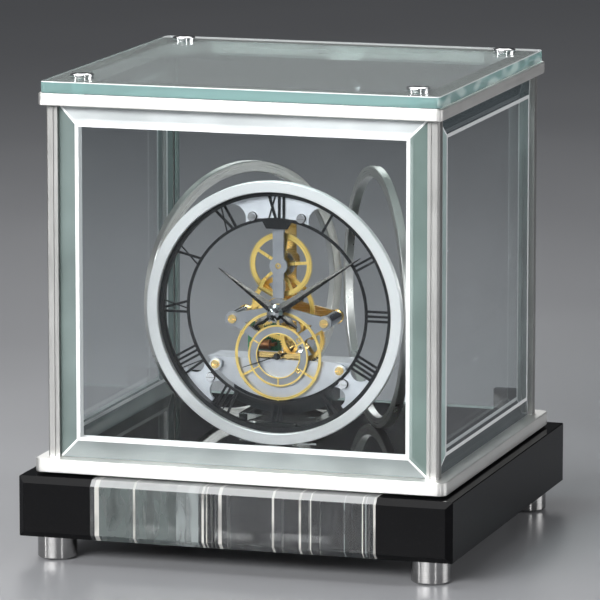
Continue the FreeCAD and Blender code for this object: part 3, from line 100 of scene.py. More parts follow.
def noise_at(made, place, scale=1.0, detail=3.0, roughness=0.55):
    """Noise between 0 and 1 at that place."""
    return node_in(made, "TexNoise", inputs={"Vector": place, "Scale": scale, "Detail": detail,
                                             "Roughness": roughness}).outputs[0]


def spread(made, value, low, high, start=0.3, end=0.7):
    """The value's middle range drawn out between low and high."""
    return node_in(made, "MapRange", inputs={0: value, 1: start, 2: end, 3: low, 4: high}).outputs[0]


def blend_colour(made, share, first, second):
    """The first colour where share is 0, the second where it is 1, and a mix between."""
    mix = node_in(made, "Mix", data_type="RGBA")
    for socket, value in ((0, share), (6, first), (7, second)):
        if isinstance(value, bpy.types.NodeSocket):
            made.node_tree.links.new(value, mix.inputs[socket])
        else:
            mix.inputs[socket].default_value = value if socket == 0 else (*value, 1.0)
    return mix.outputs[2]


def wire(made, socket, value):
    """Links the value to one socket of the material's own shader."""
    made.node_tree.links.new(value, made.node_tree.nodes["Principled BSDF"].inputs[socket])


def raised(made, value, depth):
    """Turns the value into a fine relief of that depth in metres."""
    relief = node_in(made, "Bump", inputs={"Height": value, "Distance": depth, "Strength": 1.0})
    wire(made, "Normal", relief.outputs[0])


FLOOR_SIDE = 24.0
FLOOR_DROP = 0.0004
floor_paint = material_of("studio_floor", (0.35, 0.355, 0.37), roughness=0.30)
floor_cloud = noise_at(floor_paint, own_place(floor_paint), scale=3.0)
wire(floor_paint, "Base Color", blend_colour(floor_paint, spread(floor_paint, floor_cloud, 0.0, 1.0),
                                             (0.34, 0.345, 0.36), (0.36, 0.365, 0.38)))
wire(floor_paint, "Roughness", spread(floor_paint, floor_cloud, 0.27, 0.33))
bpy.ops.mesh.primitive_plane_add(size=FLOOR_SIDE, location=(0.0, 0.0, -FLOOR_DROP))
studio_floor = bpy.context.object
studio_floor.name = "studio_floor"
studio_floor.data.materials.append(floor_paint)

# Each lamp's name, place, size, watts and the degrees over which it throws its light.
LAMPS = (("box_front", (-0.7, -2.3, 1.15), (2.2, 0.7), 13.5, 60.0),
         ("box_right", (2.1, 0.5, 0.7), (1.6, 0.8), 2.6, 60.0),
         ("box_above", (-0.55, -0.40, 2.1), (1.1, 1.1), 4.0, 90.0),
         ("box_behind", (-0.9, 1.9, 1.2), (1.2, 0.8), 1.2, 70.0),
         ("strip_left", (-2.1, -1.5, 0.6), (0.22, 1.3), 1.8, 70.0),
         ("strip_right", (1.7, -1.9, 0.6), (0.18, 1.2), 1.6, 90.0))
LAMPS_AIM = Vector((0.0, 0.0, 0.12))
for name, place, size, power, throw in LAMPS:
    light_data = bpy.data.lights.new(name, "AREA")
    light_data.shape = "RECTANGLE"
    light_data.size, light_data.size_y = size
    light_data.energy = power
    light_data.spread = math.radians(throw)
    light = bpy.data.objects.new(name, light_data)
    light.location = place
    light.rotation_mode = "QUATERNION"
    light.rotation_quaternion = (Vector(place) - LAMPS_AIM).to_track_quat("Z", "Y")
    light.visible_camera = False
    bpy.context.scene.collection.objects.link(light)

SKY_LOW, SKY_HIGH = (0.10, 0.105, 0.115, 1.0), (0.45, 0.46, 0.48, 1.0)
SKY_STRENGTH = 0.33
sky = bpy.data.worlds.new("studio_sky")
sky.use_nodes = True
bpy.context.scene.world = sky
sky_nodes, sky_links = sky.node_tree.nodes, sky.node_tree.links
sky_way = sky_nodes.new("ShaderNodeTexCoord")
sky_parts = sky_nodes.new("ShaderNodeSeparateXYZ")
sky_ramp = sky_nodes.new("ShaderNodeValToRGB")
sky_ramp.color_ramp.elements[0].position = 0.0
sky_ramp.color_ramp.elements[0].color = SKY_LOW
sky_ramp.color_ramp.elements[1].position = 1.0
sky_ramp.color_ramp.elements[1].color = SKY_HIGH
sky_links.new(sky_way.outputs["Generated"], sky_parts.inputs[0])
sky_links.new(sky_parts.outputs["Z"], sky_ramp.inputs[0])
sky_links.new(sky_ramp.outputs[0], sky_nodes["Background"].inputs["Color"])
sky_nodes["Background"].inputs["Strength"].default_value = SKY_STRENGTH

# ---- Base and floor plate -----------------------------------------------------------------------
# A solid block under deep black lacquer, rubbed down and polished, and a thinner plate of the same
# finish let into the lower band as the floor of the case.


def finish(made, *names):
    """Gives carried-over pieces this material in place of their own."""
    for name in names:
        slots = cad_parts[name].material_slots
        for slot in slots:
            slot.link = "OBJECT"
            slot.material = made


lacquer = material_of("black_lacquer", (0.006, 0.006, 0.007), roughness=0.03, IOR=1.16)
haze = noise_at(lacquer, own_place(lacquer), scale=38.0, detail=6.0)
specks = noise_at(lacquer, own_place(lacquer), scale=900.0, detail=2.0)
wire(lacquer, "Roughness", spread(lacquer, haze, 0.02, 0.05))
wire(lacquer, "Base Color", blend_colour(lacquer, spread(lacquer, specks, 0.0, 1.0, 0.60, 0.75),
                                         (0.004, 0.004, 0.0045), (0.008, 0.008, 0.009)))
raised(lacquer, haze, 0.00001)
finish(lacquer, "base_block", "floor_plate")

# ---- Feet ---------------------------------------------------------------------------------------
# Four steel cylinders turned from bar, their fine lathe lines left on the wall, each chamfered at
# its lower end. A blackened socket screw in its counterbore holds it up against the base.
turned_steel = material_of("turned_steel", (0.42, 0.415, 0.41), metallic=1.0, roughness=0.12)
lathe = noise_at(turned_steel, own_place(turned_steel, (25.0, 25.0, 5200.0)), detail=4.0)
wire(turned_steel, "Roughness", spread(turned_steel, lathe, 0.09, 0.17))
wire(turned_steel, "Base Color", blend_colour(turned_steel, spread(turned_steel, lathe, 0.0, 1.0),
                                              (0.38, 0.375, 0.37), (0.47, 0.465, 0.46)))
raised(turned_steel, lathe, 0.000006)
finish(turned_steel, "foot_front_left", "foot_front_right", "foot_rear_left", "foot_rear_right")

dark_steel = material_of("blackened_steel", (0.10, 0.10, 0.105), metallic=1.0, roughness=0.42)
oxide = noise_at(dark_steel, own_place(dark_steel), scale=800.0, detail=4.0)
wire(dark_steel, "Roughness", spread(dark_steel, oxide, 0.34, 0.52))
wire(dark_steel, "Base Color", blend_colour(dark_steel, spread(dark_steel, oxide, 0.0, 1.0),
                                            (0.08, 0.08, 0.085), (0.16, 0.155, 0.15)))
finish(dark_steel, "foot_screws")

# ---- Crystal ------------------------------------------------------------------------------------
# A block of clear optical glass let into the front of the base, and a smaller one that lifts the
# front ring's movement off the floor plate. Both are cut square and polished on every face. Along the
# front one, painted reflections stand for what its inside shows: dark painted depths, panels of
# painted shade and painted light, and bright painted glint lines.


def laid_over(made, under, mask, over):
    """Shows the shader `over` where mask is 1 and `under` elsewhere."""
    mix = node_in(made, "MixShader")
    tree = made.node_tree
    tree.links.new(mask, mix.inputs[0])
    tree.links.new(under.outputs[0], mix.inputs[1])
    tree.links.new(over.outputs[0], mix.inputs[2])
    tree.links.new(mix.outputs[0], tree.nodes["Material Output"].inputs["Surface"])
    return mix


def within(made, value, low, high):
    """1 where the value lies between low and high, else 0."""
    above = node_in(made, "Math", operation="GREATER_THAN", inputs={0: value, 1: low}).outputs[0]
    below = node_in(made, "Math", operation="LESS_THAN", inputs={0: value, 1: high}).outputs[0]
    return node_in(made, "Math", operation="MULTIPLY", inputs={0: above, 1: below}).outputs[0]


def scaled(made, value, factor):
    """The value times a plain number."""
    return node_in(made, "Math", operation="MULTIPLY", inputs={0: value, 1: factor}).outputs[0]


def clear_crystal(name):
    """Solid clear glass with the faint unevenness of a cast block."""
    made = material_of(name, (0.93, 0.96, 0.96), roughness=0.0, Transmission_Weight=1.0, IOR=1.5)
    strain = noise_at(made, own_place(made, (26.0, 26.0, 4.0)), detail=2.0)
    wire(made, "Base Color", blend_colour(made, spread(made, strain, 0.0, 1.0),
                                          (0.90, 0.945, 0.94), (0.96, 0.98, 0.98)))
    raised(made, strain, 0.00002)
    return made


finish(clear_crystal("pedestal_crystal"), "pedestal")

crystal = clear_crystal("crystal_with_painted_depths")
block_low, block_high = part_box("crystal_block")
along_block = node_in(crystal, "SeparateXYZ", inputs={0: own_place(crystal)})
share_along = node_in(crystal, "MapRange", inputs={0: along_block.outputs["X"], 1: block_low[0],
                                                   2: block_high[0]}).outputs[0]
painted_depths = node_in(crystal, "ValToRGB")
painted_depths.color_ramp.interpolation = "CONSTANT"
# Each painted tone's colour, and last how much of it hides the clear glass.
PAINTED_PANEL_SHADE, PAINTED_PANEL_LIGHT, PAINTED_DEPTH, PAINTED_GLINT_LINE = ((0.09, 0.11, 0.107, 0.80), (0.24, 0.27, 0.27, 0.80),
                                       (0.028, 0.031, 0.034, 0.70), (0.62, 0.61, 0.57, 0.80))
# How far along the block each tone starts.
STEPS = ((0.0, PAINTED_DEPTH), (0.012, PAINTED_GLINT_LINE), (0.028, PAINTED_PANEL_SHADE), (0.150, PAINTED_GLINT_LINE), (0.157, PAINTED_PANEL_SHADE),
         (0.302, PAINTED_PANEL_LIGHT), (0.382, PAINTED_DEPTH), (0.392, PAINTED_GLINT_LINE), (0.399, PAINTED_DEPTH), (0.407, PAINTED_GLINT_LINE),
         (0.411, PAINTED_DEPTH), (0.452, PAINTED_GLINT_LINE), (0.461, PAINTED_DEPTH), (0.640, PAINTED_GLINT_LINE), (0.647, PAINTED_DEPTH),
         (0.732, PAINTED_GLINT_LINE), (0.741, PAINTED_DEPTH), (0.772, PAINTED_GLINT_LINE), (0.777, PAINTED_DEPTH), (0.888, PAINTED_PANEL_LIGHT),
         (0.893, PAINTED_DEPTH), (0.950, PAINTED_GLINT_LINE), (0.957, PAINTED_DEPTH), (0.963, PAINTED_PANEL_LIGHT), (0.967, PAINTED_DEPTH),
         (0.990, PAINTED_GLINT_LINE))
ramp = painted_depths.color_ramp.elements
ramp[0].color = STEPS[0][1]
ramp.remove(ramp[1])
for at_share, shade in STEPS[1:]:
    ramp.new(at_share).color = shade
crystal.node_tree.links.new(share_along, painted_depths.inputs[0])
painted_view = node_in(crystal, "BsdfPrincipled", inputs={"Roughness": 0.12})
crystal.node_tree.links.new(painted_depths.outputs["Color"], painted_view.inputs["Base Color"])

# A grey painted sheen laid over the top bevel of the front block.
TOP_BEVEL_HIGH = 0.0028
TOP_BEVEL_SHARE = 0.6
top_bevel = node_in(crystal, "Math", operation="GREATER_THAN",
                    inputs={0: along_block.outputs["Z"],
                            1: block_high[2] - TOP_BEVEL_HIGH}).outputs[0]
painted_bevel_sheen = node_in(crystal, "BsdfPrincipled", inputs={"Base Color": (0.42, 0.43, 0.43, 1.0),
                                                         "Roughness": 0.2})
broken = noise_at(crystal, own_place(crystal, (160.0, 160.0, 45.0)), detail=1.0)
broken = spread(crystal, broken, 0.55, 1.0, 0.40, 0.55)
painted_share = node_in(crystal, "Math", operation="MULTIPLY",
                    inputs={0: painted_depths.outputs["Alpha"], 1: broken}).outputs[0]
painted_over = laid_over(crystal, crystal.node_tree.nodes["Principled BSDF"], painted_share, painted_view)
laid_over(crystal, painted_over, scaled(crystal, top_bevel, TOP_BEVEL_SHARE), painted_bevel_sheen)
finish(crystal, "crystal_block")

# ---- Bands and posts ----------------------------------------------------------------------------
# The metal frame: two rectangular bands with rounded corners and four grooved corner posts, all
# milled, then brushed along their length and plated a soft silver white.


def brushed(name, colour, along, roughness=0.42, contrast=0.03):
    """Metal with fine scratches drawn out along the named axes."""
    made = material_of(name, colour, metallic=1.0, roughness=roughness)
    scale = [4600.0, 4600.0, 4600.0]
    for axis in along:
        scale["xyz".index(axis)] = 26.0
    hair = noise_at(made, own_place(made, scale), detail=5.0, roughness=0.6)
    cloud = noise_at(made, own_place(made), scale=60.0, detail=3.0)
    both = node_in(made, "Math", operation="MULTIPLY_ADD", inputs={0: cloud, 1: 0.4, 2: hair}).outputs[0]
    wire(made, "Roughness", spread(made, both, roughness - 0.06, roughness + 0.08, 0.5, 0.9))
    low = [max(0.0, c - contrast) for c in colour]
    high = [min(1.0, c + contrast * 0.6) for c in colour]
    wire(made, "Base Color", blend_colour(made, spread(made, both, 0.0, 1.0, 0.5, 0.9), low, high))
    raised(made, hair, 0.000015)
    return made


finish(brushed("band_silver", (0.88, 0.875, 0.85), "xy"), "lower_band", "upper_band")
# The posts have the bands' plating, painted about half as bright: painted shade.
finish(brushed("post_silver_painted_shade", (0.44, 0.44, 0.43), "z"),
       "post_front_left", "post_front_right", "post_rear_left", "post_rear_right")

# ---- Glass sides and rear door ------------------------------------------------------------------
# Plate glass. The front and side sheets are ground to a wide bevel with a narrow polished line
# inside it, and stand in the grooves of the posts. Their bevels carry painted refraction with painted
# light and shade, and the inner line and the mitres a white painted highlight. The rear sheet is
# plain and turns as a door, its narrow edge only tinted green.


def plain_glass(name, tint):
    """Thin clear glass: what is behind shows through, and its faces mirror more at a slant."""
    made = bpy.data.materials.new(name)
    made.use_nodes = True
    tree = made.node_tree
    tree.nodes.remove(tree.nodes["Principled BSDF"])
    through = node_in(made, "BsdfTransparent")
    smear = noise_at(made, own_place(made), scale=14.0, detail=3.0)
    clearer = [min(1.0, c + 0.02) for c in tint]
    tree.links.new(blend_colour(made, spread(made, smear, 0.0, 1.0), tint, clearer),
                   through.inputs["Color"])
    slant = node_in(made, "LayerWeight", inputs={"Blend": 0.5}).outputs["Facing"]
    steep = node_in(made, "Math", operation="POWER", inputs={0: slant, 1: 5.0}).outputs[0]
    share = node_in(made, "Math", operation="MULTIPLY_ADD", inputs={0: steep, 1: 0.9, 2: 0.012}).outputs[0]
    mirror = node_in(made, "BsdfGlossy", inputs={"Roughness": 0.0, "Color": (1.0, 1.0, 1.0, 1.0)})
    clear = node_in(made, "MixShader")
    tree.links.new(share, clear.inputs[0])
    tree.links.new(through.outputs[0], clear.inputs[1])
    tree.links.new(mirror.outputs[0], clear.inputs[2])
    tree.links.new(clear.outputs[0], tree.nodes["Material Output"].inputs["Surface"])
    return made, clear


BEVEL_WIDE = 0.0085
LINE_WIDE = 0.0018
MITRE_WIDE = 0.0007
DOOR_EDGE_WIDE = 0.0008
BEVEL_SHARE, LINE_SHARE = 0.72, 0.9
PANE_TINT = (0.935, 0.95, 0.955)
# The painted tones of each sheet's ground edges: its two upright ones, then its bottom and its top.
# On the bevelled sheets they are painted refraction, lighter on edges that face the light and darker
# on those in shade.
PAINTED_EDGE_TONES = {
    "front_glass": ((0.20, 0.25, 0.24), (0.20, 0.27, 0.25), (0.34, 0.38, 0.38), (0.62, 0.66, 0.67)),
    "left_glass": ((0.20, 0.26, 0.25), (0.20, 0.26, 0.25), (0.22, 0.26, 0.26), (0.14, 0.17, 0.18)),
    "right_glass": ((0.48, 0.62, 0.60), (0.36, 0.40, 0.40), (0.10, 0.12, 0.13), (0.08, 0.10, 0.11)),
    "rear_door": ((0.30, 0.38, 0.36),) * 4}
for node, across in (("front_glass", "X"), ("left_glass", "Y"), ("right_glass", "Y"), ("rear_door", "X")):
    low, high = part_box(node)
    pane, clear = plain_glass("glass_of_" + node, PANE_TINT)
    parts = node_in(pane, "SeparateXYZ", inputs={0: own_place(pane)})
    gaps, past = [], []
    for axis in (across, "Z"):
        number = "XYZ".index(axis)
        centre, half = (low[number] + high[number]) / 2, (high[number] - low[number]) / 2
        off = node_in(pane, "Math", operation="SUBTRACT",
                      inputs={0: parts.outputs[axis], 1: centre}).outputs[0]
        past.append(node_in(pane, "Math", operation="GREATER_THAN",
                            inputs={0: off, 1: 0.0}).outputs[0])
        far = node_in(pane, "Math", operation="ABSOLUTE", inputs={0: off}).outputs[0]
        gaps.append(node_in(pane, "Math", operation="SUBTRACT",
                            inputs={0: half, 1: far}).outputs[0])
    side_gap, end_gap = gaps
    nearest = node_in(pane, "Math", operation="MINIMUM",
                      inputs={0: side_gap, 1: end_gap}).outputs[0]
    apart = node_in(pane, "Math", operation="SUBTRACT",
                    inputs={0: side_gap, 1: end_gap}).outputs[0]
    level_edge = node_in(pane, "Math", operation="GREATER_THAN",
                         inputs={0: apart, 1: 0.0}).outputs[0]
    apart = node_in(pane, "Math", operation="ABSOLUTE", inputs={0: apart}).outputs[0]
    painted_tones = PAINTED_EDGE_TONES[node]
    upright_tone = blend_colour(pane, past[0], *painted_tones[:2])
    level_tone = blend_colour(pane, past[1], *painted_tones[2:])
    tint = blend_colour(pane, level_edge, upright_tone, level_tone)
    streak = noise_at(pane, own_place(pane, (30.0, 30.0, 30.0)), detail=2.0)
    streaked_tone = node_in(pane, "VectorMath", operation="SCALE",
                     inputs={0: tint, "Scale": spread(pane, streak, 0.82, 1.18)}).outputs[0]
    # Shows the painted bevel tones, and on the door its narrow green edge.
    painted_edge = node_in(pane, "BsdfPrincipled")
    painted_edge.inputs["Roughness"].default_value = 0.2
    painted_edge.inputs["IOR"].default_value = 1.25
    pane.node_tree.links.new(streaked_tone, painted_edge.inputs["Base Color"])
    has_bevel = node != "rear_door"
    edge_mask = within(pane, nearest, -1.0, BEVEL_WIDE if has_bevel else DOOR_EDGE_WIDE)
    shown = laid_over(pane, clear, scaled(pane, edge_mask, BEVEL_SHARE), painted_edge)
    if has_bevel:
        # A white painted highlight along the bevel's inner line and its mitres.
        bright = node_in(pane, "BsdfPrincipled")
        bright.inputs["Base Color"].default_value = (0.95, 0.97, 0.97, 1.0)
        bright.inputs["Roughness"].default_value = 0.25
        inner_line = within(pane, nearest, BEVEL_WIDE, BEVEL_WIDE + LINE_WIDE)
        mitre = node_in(pane, "Math", operation="MULTIPLY",
                        inputs={0: within(pane, apart, -1.0, MITRE_WIDE), 1: edge_mask}).outputs[0]
        lines = node_in(pane, "Math", operation="MAXIMUM",
                        inputs={0: inner_line, 1: mitre}).outputs[0]
        laid_over(pane, shown, scaled(pane, lines, LINE_SHARE), bright)
    finish(pane, node)

# ---- Top glass ----------------------------------------------------------------------------------
# One thick sheet laid on the upper band, its four edges polished and green. The edges are painted
# their green with painted light and shade, and painted wavy highlights along the right edge; the
# chamfers and a strip at the rear of the top carry a white painted highlight, and the top face a grey
# painted sheen. The caps' studs pass through it.
REAR_GLINT_WIDE = 0.0085
PAINTED_SHEEN_SHARE, EDGE_SHARE, GLINT_SHARE = 0.28, 0.7, 0.8
top_pane = material_of("glass_of_top", (0.80, 0.93, 0.91), roughness=0.0, Transmission_Weight=1.0, IOR=1.5)
layers = noise_at(top_pane, own_place(top_pane, (12.0, 12.0, 12.0)), detail=3.0)
wire(top_pane, "Base Color", blend_colour(top_pane, spread(top_pane, layers, 0.0, 1.0),
                                          (0.80, 0.92, 0.90), (0.86, 0.95, 0.94)))
facing = node_in(top_pane, "SeparateXYZ", inputs={0: node_in(top_pane, "NewGeometry").outputs["Normal"]})
upward = node_in(top_pane, "Math", operation="GREATER_THAN",
                 inputs={0: facing.outputs["Z"], 1: 0.9}).outputs[0]
sideways = within(top_pane, facing.outputs["Z"], -0.3, 0.3)
arris = within(top_pane, facing.outputs["Z"], 0.3, 0.9)
rightward = within(top_pane, facing.outputs["X"], 0.6, 1.1)
top_parts = node_in(top_pane, "SeparateXYZ", inputs={0: own_place(top_pane)})
rear_edge = node_in(top_pane, "Math", operation="GREATER_THAN",
                    inputs={0: top_parts.outputs["Y"],
                            1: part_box("top_glass")[1][1] - REAR_GLINT_WIDE}).outputs[0]
ripple = noise_at(top_pane, own_place(top_pane, (60.0, 60.0, 160.0)), detail=0.0)
# A grey painted sheen over the top face.
painted_sheen = node_in(top_pane, "BsdfPrincipled", inputs={"Base Color": (0.40, 0.42, 0.42, 1.0),
                                                    "Roughness": 0.3})
painted_sheen_over = laid_over(top_pane, top_pane.node_tree.nodes["Principled BSDF"],
                  scaled(top_pane, upward, PAINTED_SHEEN_SHARE), painted_sheen)
# The edges' green with painted shade, brighter in painted wavy highlights along the right edge.
painted_edge_light = node_in(top_pane, "BsdfPrincipled", inputs={"Roughness": 0.15})
painted_wave_glint = node_in(top_pane, "Math", operation="MULTIPLY",
               inputs={0: spread(top_pane, ripple, 0.0, 1.0, 0.46, 0.66),
                       1: rightward}).outputs[0]
top_pane.node_tree.links.new(blend_colour(top_pane, painted_wave_glint, (0.22, 0.37, 0.36), (0.66, 0.80, 0.78)),
                             painted_edge_light.inputs["Base Color"])
edged = laid_over(top_pane, painted_sheen_over, scaled(top_pane, sideways, EDGE_SHARE), painted_edge_light)
# A white painted highlight on the chamfers and along the rear of the top face.
painted_white_glint = node_in(top_pane, "BsdfPrincipled", inputs={"Base Color": (0.92, 0.96, 0.96, 1.0),
                                                       "Roughness": 0.2})
rear_glint = node_in(top_pane, "Math", operation="MULTIPLY", inputs={0: rear_edge, 1: upward}).outputs[0]
lit = node_in(top_pane, "Math", operation="MAXIMUM", inputs={0: arris, 1: rear_glint}).outputs[0]
edged = laid_over(top_pane, edged, scaled(top_pane, lit, GLINT_SHARE), painted_white_glint)
to_lamp = node_in(top_pane, "LightPath").outputs["Is Shadow Ray"]
open_way = node_in(top_pane, "BsdfTransparent", inputs={"Color": (0.82, 0.90, 0.89, 1.0)})
laid_over(top_pane, edged, to_lamp, open_way)
finish(top_pane, "top_glass")

# ---- Caps, door furniture -----------------------------------------------------------------------
# Small parts under bright chrome: four turned caps that hold the top glass, the door's knob, catch,
# corner fittings and hinge pins, the dial's screws and the cap over the hands.
chrome = material_of("bright_chrome", (0.80, 0.80, 0.81), metallic=1.0, roughness=0.06)
polish = noise_at(chrome, own_place(chrome, (700.0, 700.0, 700.0)), detail=4.0)
wire(chrome, "Roughness", spread(chrome, polish, 0.03, 0.11))
wire(chrome, "Base Color", blend_colour(chrome, spread(chrome, polish, 0.0, 1.0),
                                        (0.76, 0.76, 0.77), (0.84, 0.84, 0.85)))
finish(chrome, "top_caps", "door_knob", "door_fittings", "door_catch", "hinge_pins", "dial_screws",
       "hand_cap")

# ---- Ring stand ---------------------------------------------------------------------------------
# Three flat-sided steel rings, turned and then brushed round and round, standing on edge in a
# triangle. The front one carries the dial and the movement.


def circled(name, colour, centre, roughness=0.24, pitch=3600.0, contrast=0.07):
    """Metal with fine rings of scratches round a centre."""
    made = material_of(name, colour, metallic=1.0, roughness=roughness)
    away = node_in(made, "VectorMath", operation="DISTANCE",
                   inputs={0: node_in(made, "TexCoord").outputs["Object"], 1: centre}).outputs["Value"]
    line = node_in(made, "CombineXYZ", inputs={0: scaled(made, away, pitch)}).outputs[0]
    sweep = own_place(made, (40.0, 40.0, 40.0))
    there = node_in(made, "VectorMath", operation="ADD", inputs={0: line, 1: sweep}).outputs[0]
    rings = noise_at(made, there, detail=4.0, roughness=0.6)
    wire(made, "Roughness", spread(made, rings, roughness - 0.06, roughness + 0.08))
    low = [max(0.0, c - contrast) for c in colour]
    high = [min(1.0, c + contrast) for c in colour]
    wire(made, "Base Color", blend_colour(made, spread(made, rings, 0.0, 1.0), low, high))
    raised(made, rings, 0.00001)
    return made


for node, shade, metallic, roughness in (("front_ring", (0.92, 0.92, 0.92), 0.6, 0.38),
                                         ("left_ring", (0.76, 0.75, 0.72), 1.0, 0.30),
                                         ("right_ring", (0.76, 0.75, 0.72), 1.0, 0.30)):
    low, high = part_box(node)
    made = circled("brushed_" + node, shade, tuple((low + high) / 2), roughness=roughness,
                   contrast=0.03)
    shader = made.node_tree.nodes["Principled BSDF"]
    shader.inputs["Anisotropic"].default_value = 0.5
    shader.inputs["Metallic"].default_value = metallic
    finish(made, node)

# ---- Dial ---------------------------------------------------------------------------------------
# A pierced dial, pressed from sheet and sprayed a semi-gloss black, with four small chrome screws
# through its lugs.
HUB = Vector((0.0, 0.0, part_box("front_ring")[0][2] / 2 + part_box("front_ring")[1][2] / 2))
dial_paint = material_of("dial_black", (0.008, 0.009, 0.010), roughness=0.40, IOR=1.28)
grit = noise_at(dial_paint, own_place(dial_paint), scale=2600.0, detail=3.0)
wire(dial_paint, "Roughness", spread(dial_paint, grit, 0.34, 0.48))
wire(dial_paint, "Base Color", blend_colour(dial_paint, spread(dial_paint, grit, 0.0, 1.0),
                                            (0.007, 0.008, 0.009), (0.014, 0.015, 0.017)))
raised(dial_paint, grit, 0.00001)
finish(dial_paint, "dial")

# ---- Brackets, bar, bridge and cover ------------------------------------------------------------
# The plates of the movement and the cover over its motor, stamped and bead-blasted to a fine matt
# silver. The bar and the bridge are darker than the brackets and the cover.
for name, low_shade, high_shade, nodes in (
        ("matt_plate", (0.26, 0.27, 0.29), (0.32, 0.33, 0.355), ("front_bar", "front_bridge")),
        ("bright_plate", (0.62, 0.64, 0.68), (0.76, 0.78, 0.82),
         ("left_bracket", "right_bracket", "top_bracket")),
        ("cover_plate", (0.50, 0.51, 0.54), (0.60, 0.61, 0.64), ("lower_cover",))):
    plate = material_of(name, low_shade, metallic=0.85, roughness=0.42)
    blast = noise_at(plate, own_place(plate), scale=3200.0, detail=3.0)
    broad = noise_at(plate, own_place(plate), scale=90.0, detail=2.0)
    wire(plate, "Roughness", spread(plate, blast, 0.34, 0.46))
    wire(plate, "Base Color", blend_colour(plate, spread(plate, broad, 0.0, 1.0), low_shade, high_shade))
    raised(plate, blast, 0.000012)
    finish(plate, *nodes)

# ---- Pillars ------------------------------------------------------------------------------------
# Three turned and mirror-polished steel pillars that stand between the front bridge and the rear
# plate and hold them apart, each tapped at its front end.
mirror_steel = material_of("mirror_steel", (0.82, 0.82, 0.84), metallic=1.0, roughness=0.08)
drawn = noise_at(mirror_steel, own_place(mirror_steel, (20.0, 500.0, 900.0)), detail=4.0)
wire(mirror_steel, "Roughness", spread(mirror_steel, drawn, 0.05, 0.15))
wire(mirror_steel, "Base Color", blend_colour(mirror_steel, spread(mirror_steel, drawn, 0.0, 1.0),
                                              (0.50, 0.51, 0.54), (0.62, 0.63, 0.66)))
finish(mirror_steel, "pillars")

# ---- Brass parts --------------------------------------------------------------------------------
# The rear plate and the seconds cock are sawn from brass sheet and grained; the bridge screws and
# the bearing rings are turned.
brass = brushed("grained_brass", (0.80, 0.56, 0.22), "x", roughness=0.24, contrast=0.07)
finish(brass, "rear_plate", "seconds_cock")
turned_brass = circled("turned_brass", (0.86, 0.62, 0.26), tuple(HUB), roughness=0.16, pitch=1500.0)
finish(turned_brass, "bridge_screws", "jewels")

# ---- Gilt wheels and seconds ring ---------------------------------------------------------------
# The wheels and the seconds ring are cut from brass, circle-grained and gilded a warm yellow. The
# ring is fixed, and the wheels of the train turn on steel arbors.
for node, shade in (("seconds_chapter", (0.93, 0.68, 0.22)), ("top_wheel", (0.90, 0.66, 0.20)),
                    ("centre_wheel", (0.88, 0.62, 0.17)), ("third_wheel", (0.88, 0.60, 0.17)),
                    ("hour_wheel", (0.90, 0.64, 0.20)), ("motion_wheel", (0.90, 0.64, 0.20))):
    low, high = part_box(node)
    finish(circled("gilt_" + node, shade, tuple((low + high) / 2), roughness=0.30, pitch=2600.0,
                   contrast=0.06), node)
arbor_steel = circled("arbor_steel", (0.62, 0.62, 0.62), tuple(HUB), roughness=0.20, pitch=2600.0)
finish(arbor_steel, "centre_arbor", "third_arbor", "top_arbor", "seconds_arbor")

# ---- Hands --------------------------------------------------------------------------------------
# Long lance hands with a ridge down the middle, one dark metal painted lit and shaded: one slope is
# painted a lighter grey as a painted highlight, the other near-black as painted shade.
# The seconds hand is a thin dark needle.
NEAR_BLACK, PAINTED_LIT_SLOPE, NEEDLE_GREY = (0.012, 0.012, 0.012), (0.06, 0.057, 0.052), (0.05, 0.05, 0.05)
for node, shades in (("hour_hand", (NEAR_BLACK, PAINTED_LIT_SLOPE)),
                     ("minute_hand", (NEAR_BLACK, PAINTED_LIT_SLOPE)),
                     ("seconds_hand", (NEAR_BLACK, NEEDLE_GREY))):
    hand = material_of("gunmetal_" + node, shades[1], metallic=0.5, roughness=0.28)
    low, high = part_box(node)
    tip_x = high[0] if abs(high[0]) > abs(low[0]) else low[0]
    lean = math.atan2(tip_x, high[2] - HUB[2]) if node != "seconds_hand" else 0.0
    side = Vector((math.cos(lean), 0.0, -math.sin(lean)))
    offset = node_in(hand, "VectorMath", operation="DOT_PRODUCT",
                     inputs={0: own_place(hand, move=tuple(-HUB)), 1: tuple(side)}).outputs["Value"]
    slope = node_in(hand, "Math", operation="GREATER_THAN", inputs={0: offset, 1: 0.0}).outputs[0]
    satin = noise_at(hand, own_place(hand), scale=1500.0, detail=4.0)
    # Which slope gets the painted highlight turns with the way the hand leans.
    first, second = shades if lean < 0.0 else shades[::-1]
    wire(hand, "Base Color", blend_colour(hand, slope, first, second))
    wire(hand, "Roughness", spread(hand, satin, 0.22, 0.38))
    finish(hand, node)

# ---- Housing, battery and drive -----------------------------------------------------------------
# A glossy black moulding round the cell and the stepping motor, the cell in its dark and copper
# sleeve, the motor's green board and copper coil, and the blackened knob that sets the hands.
moulding = material_of("black_moulding", (0.012, 0.014, 0.016), roughness=0.14)
flow = noise_at(moulding, own_place(moulding, (40.0, 40.0, 120.0)), detail=4.0)
wire(moulding, "Roughness", spread(moulding, flow, 0.10, 0.22))
wire(moulding, "Base Color", blend_colour(moulding, spread(moulding, flow, 0.0, 1.0),
                                          (0.010, 0.012, 0.014), (0.02, 0.024, 0.028)))
finish(moulding, "housing")
finish(dark_steel, "setting_knob")

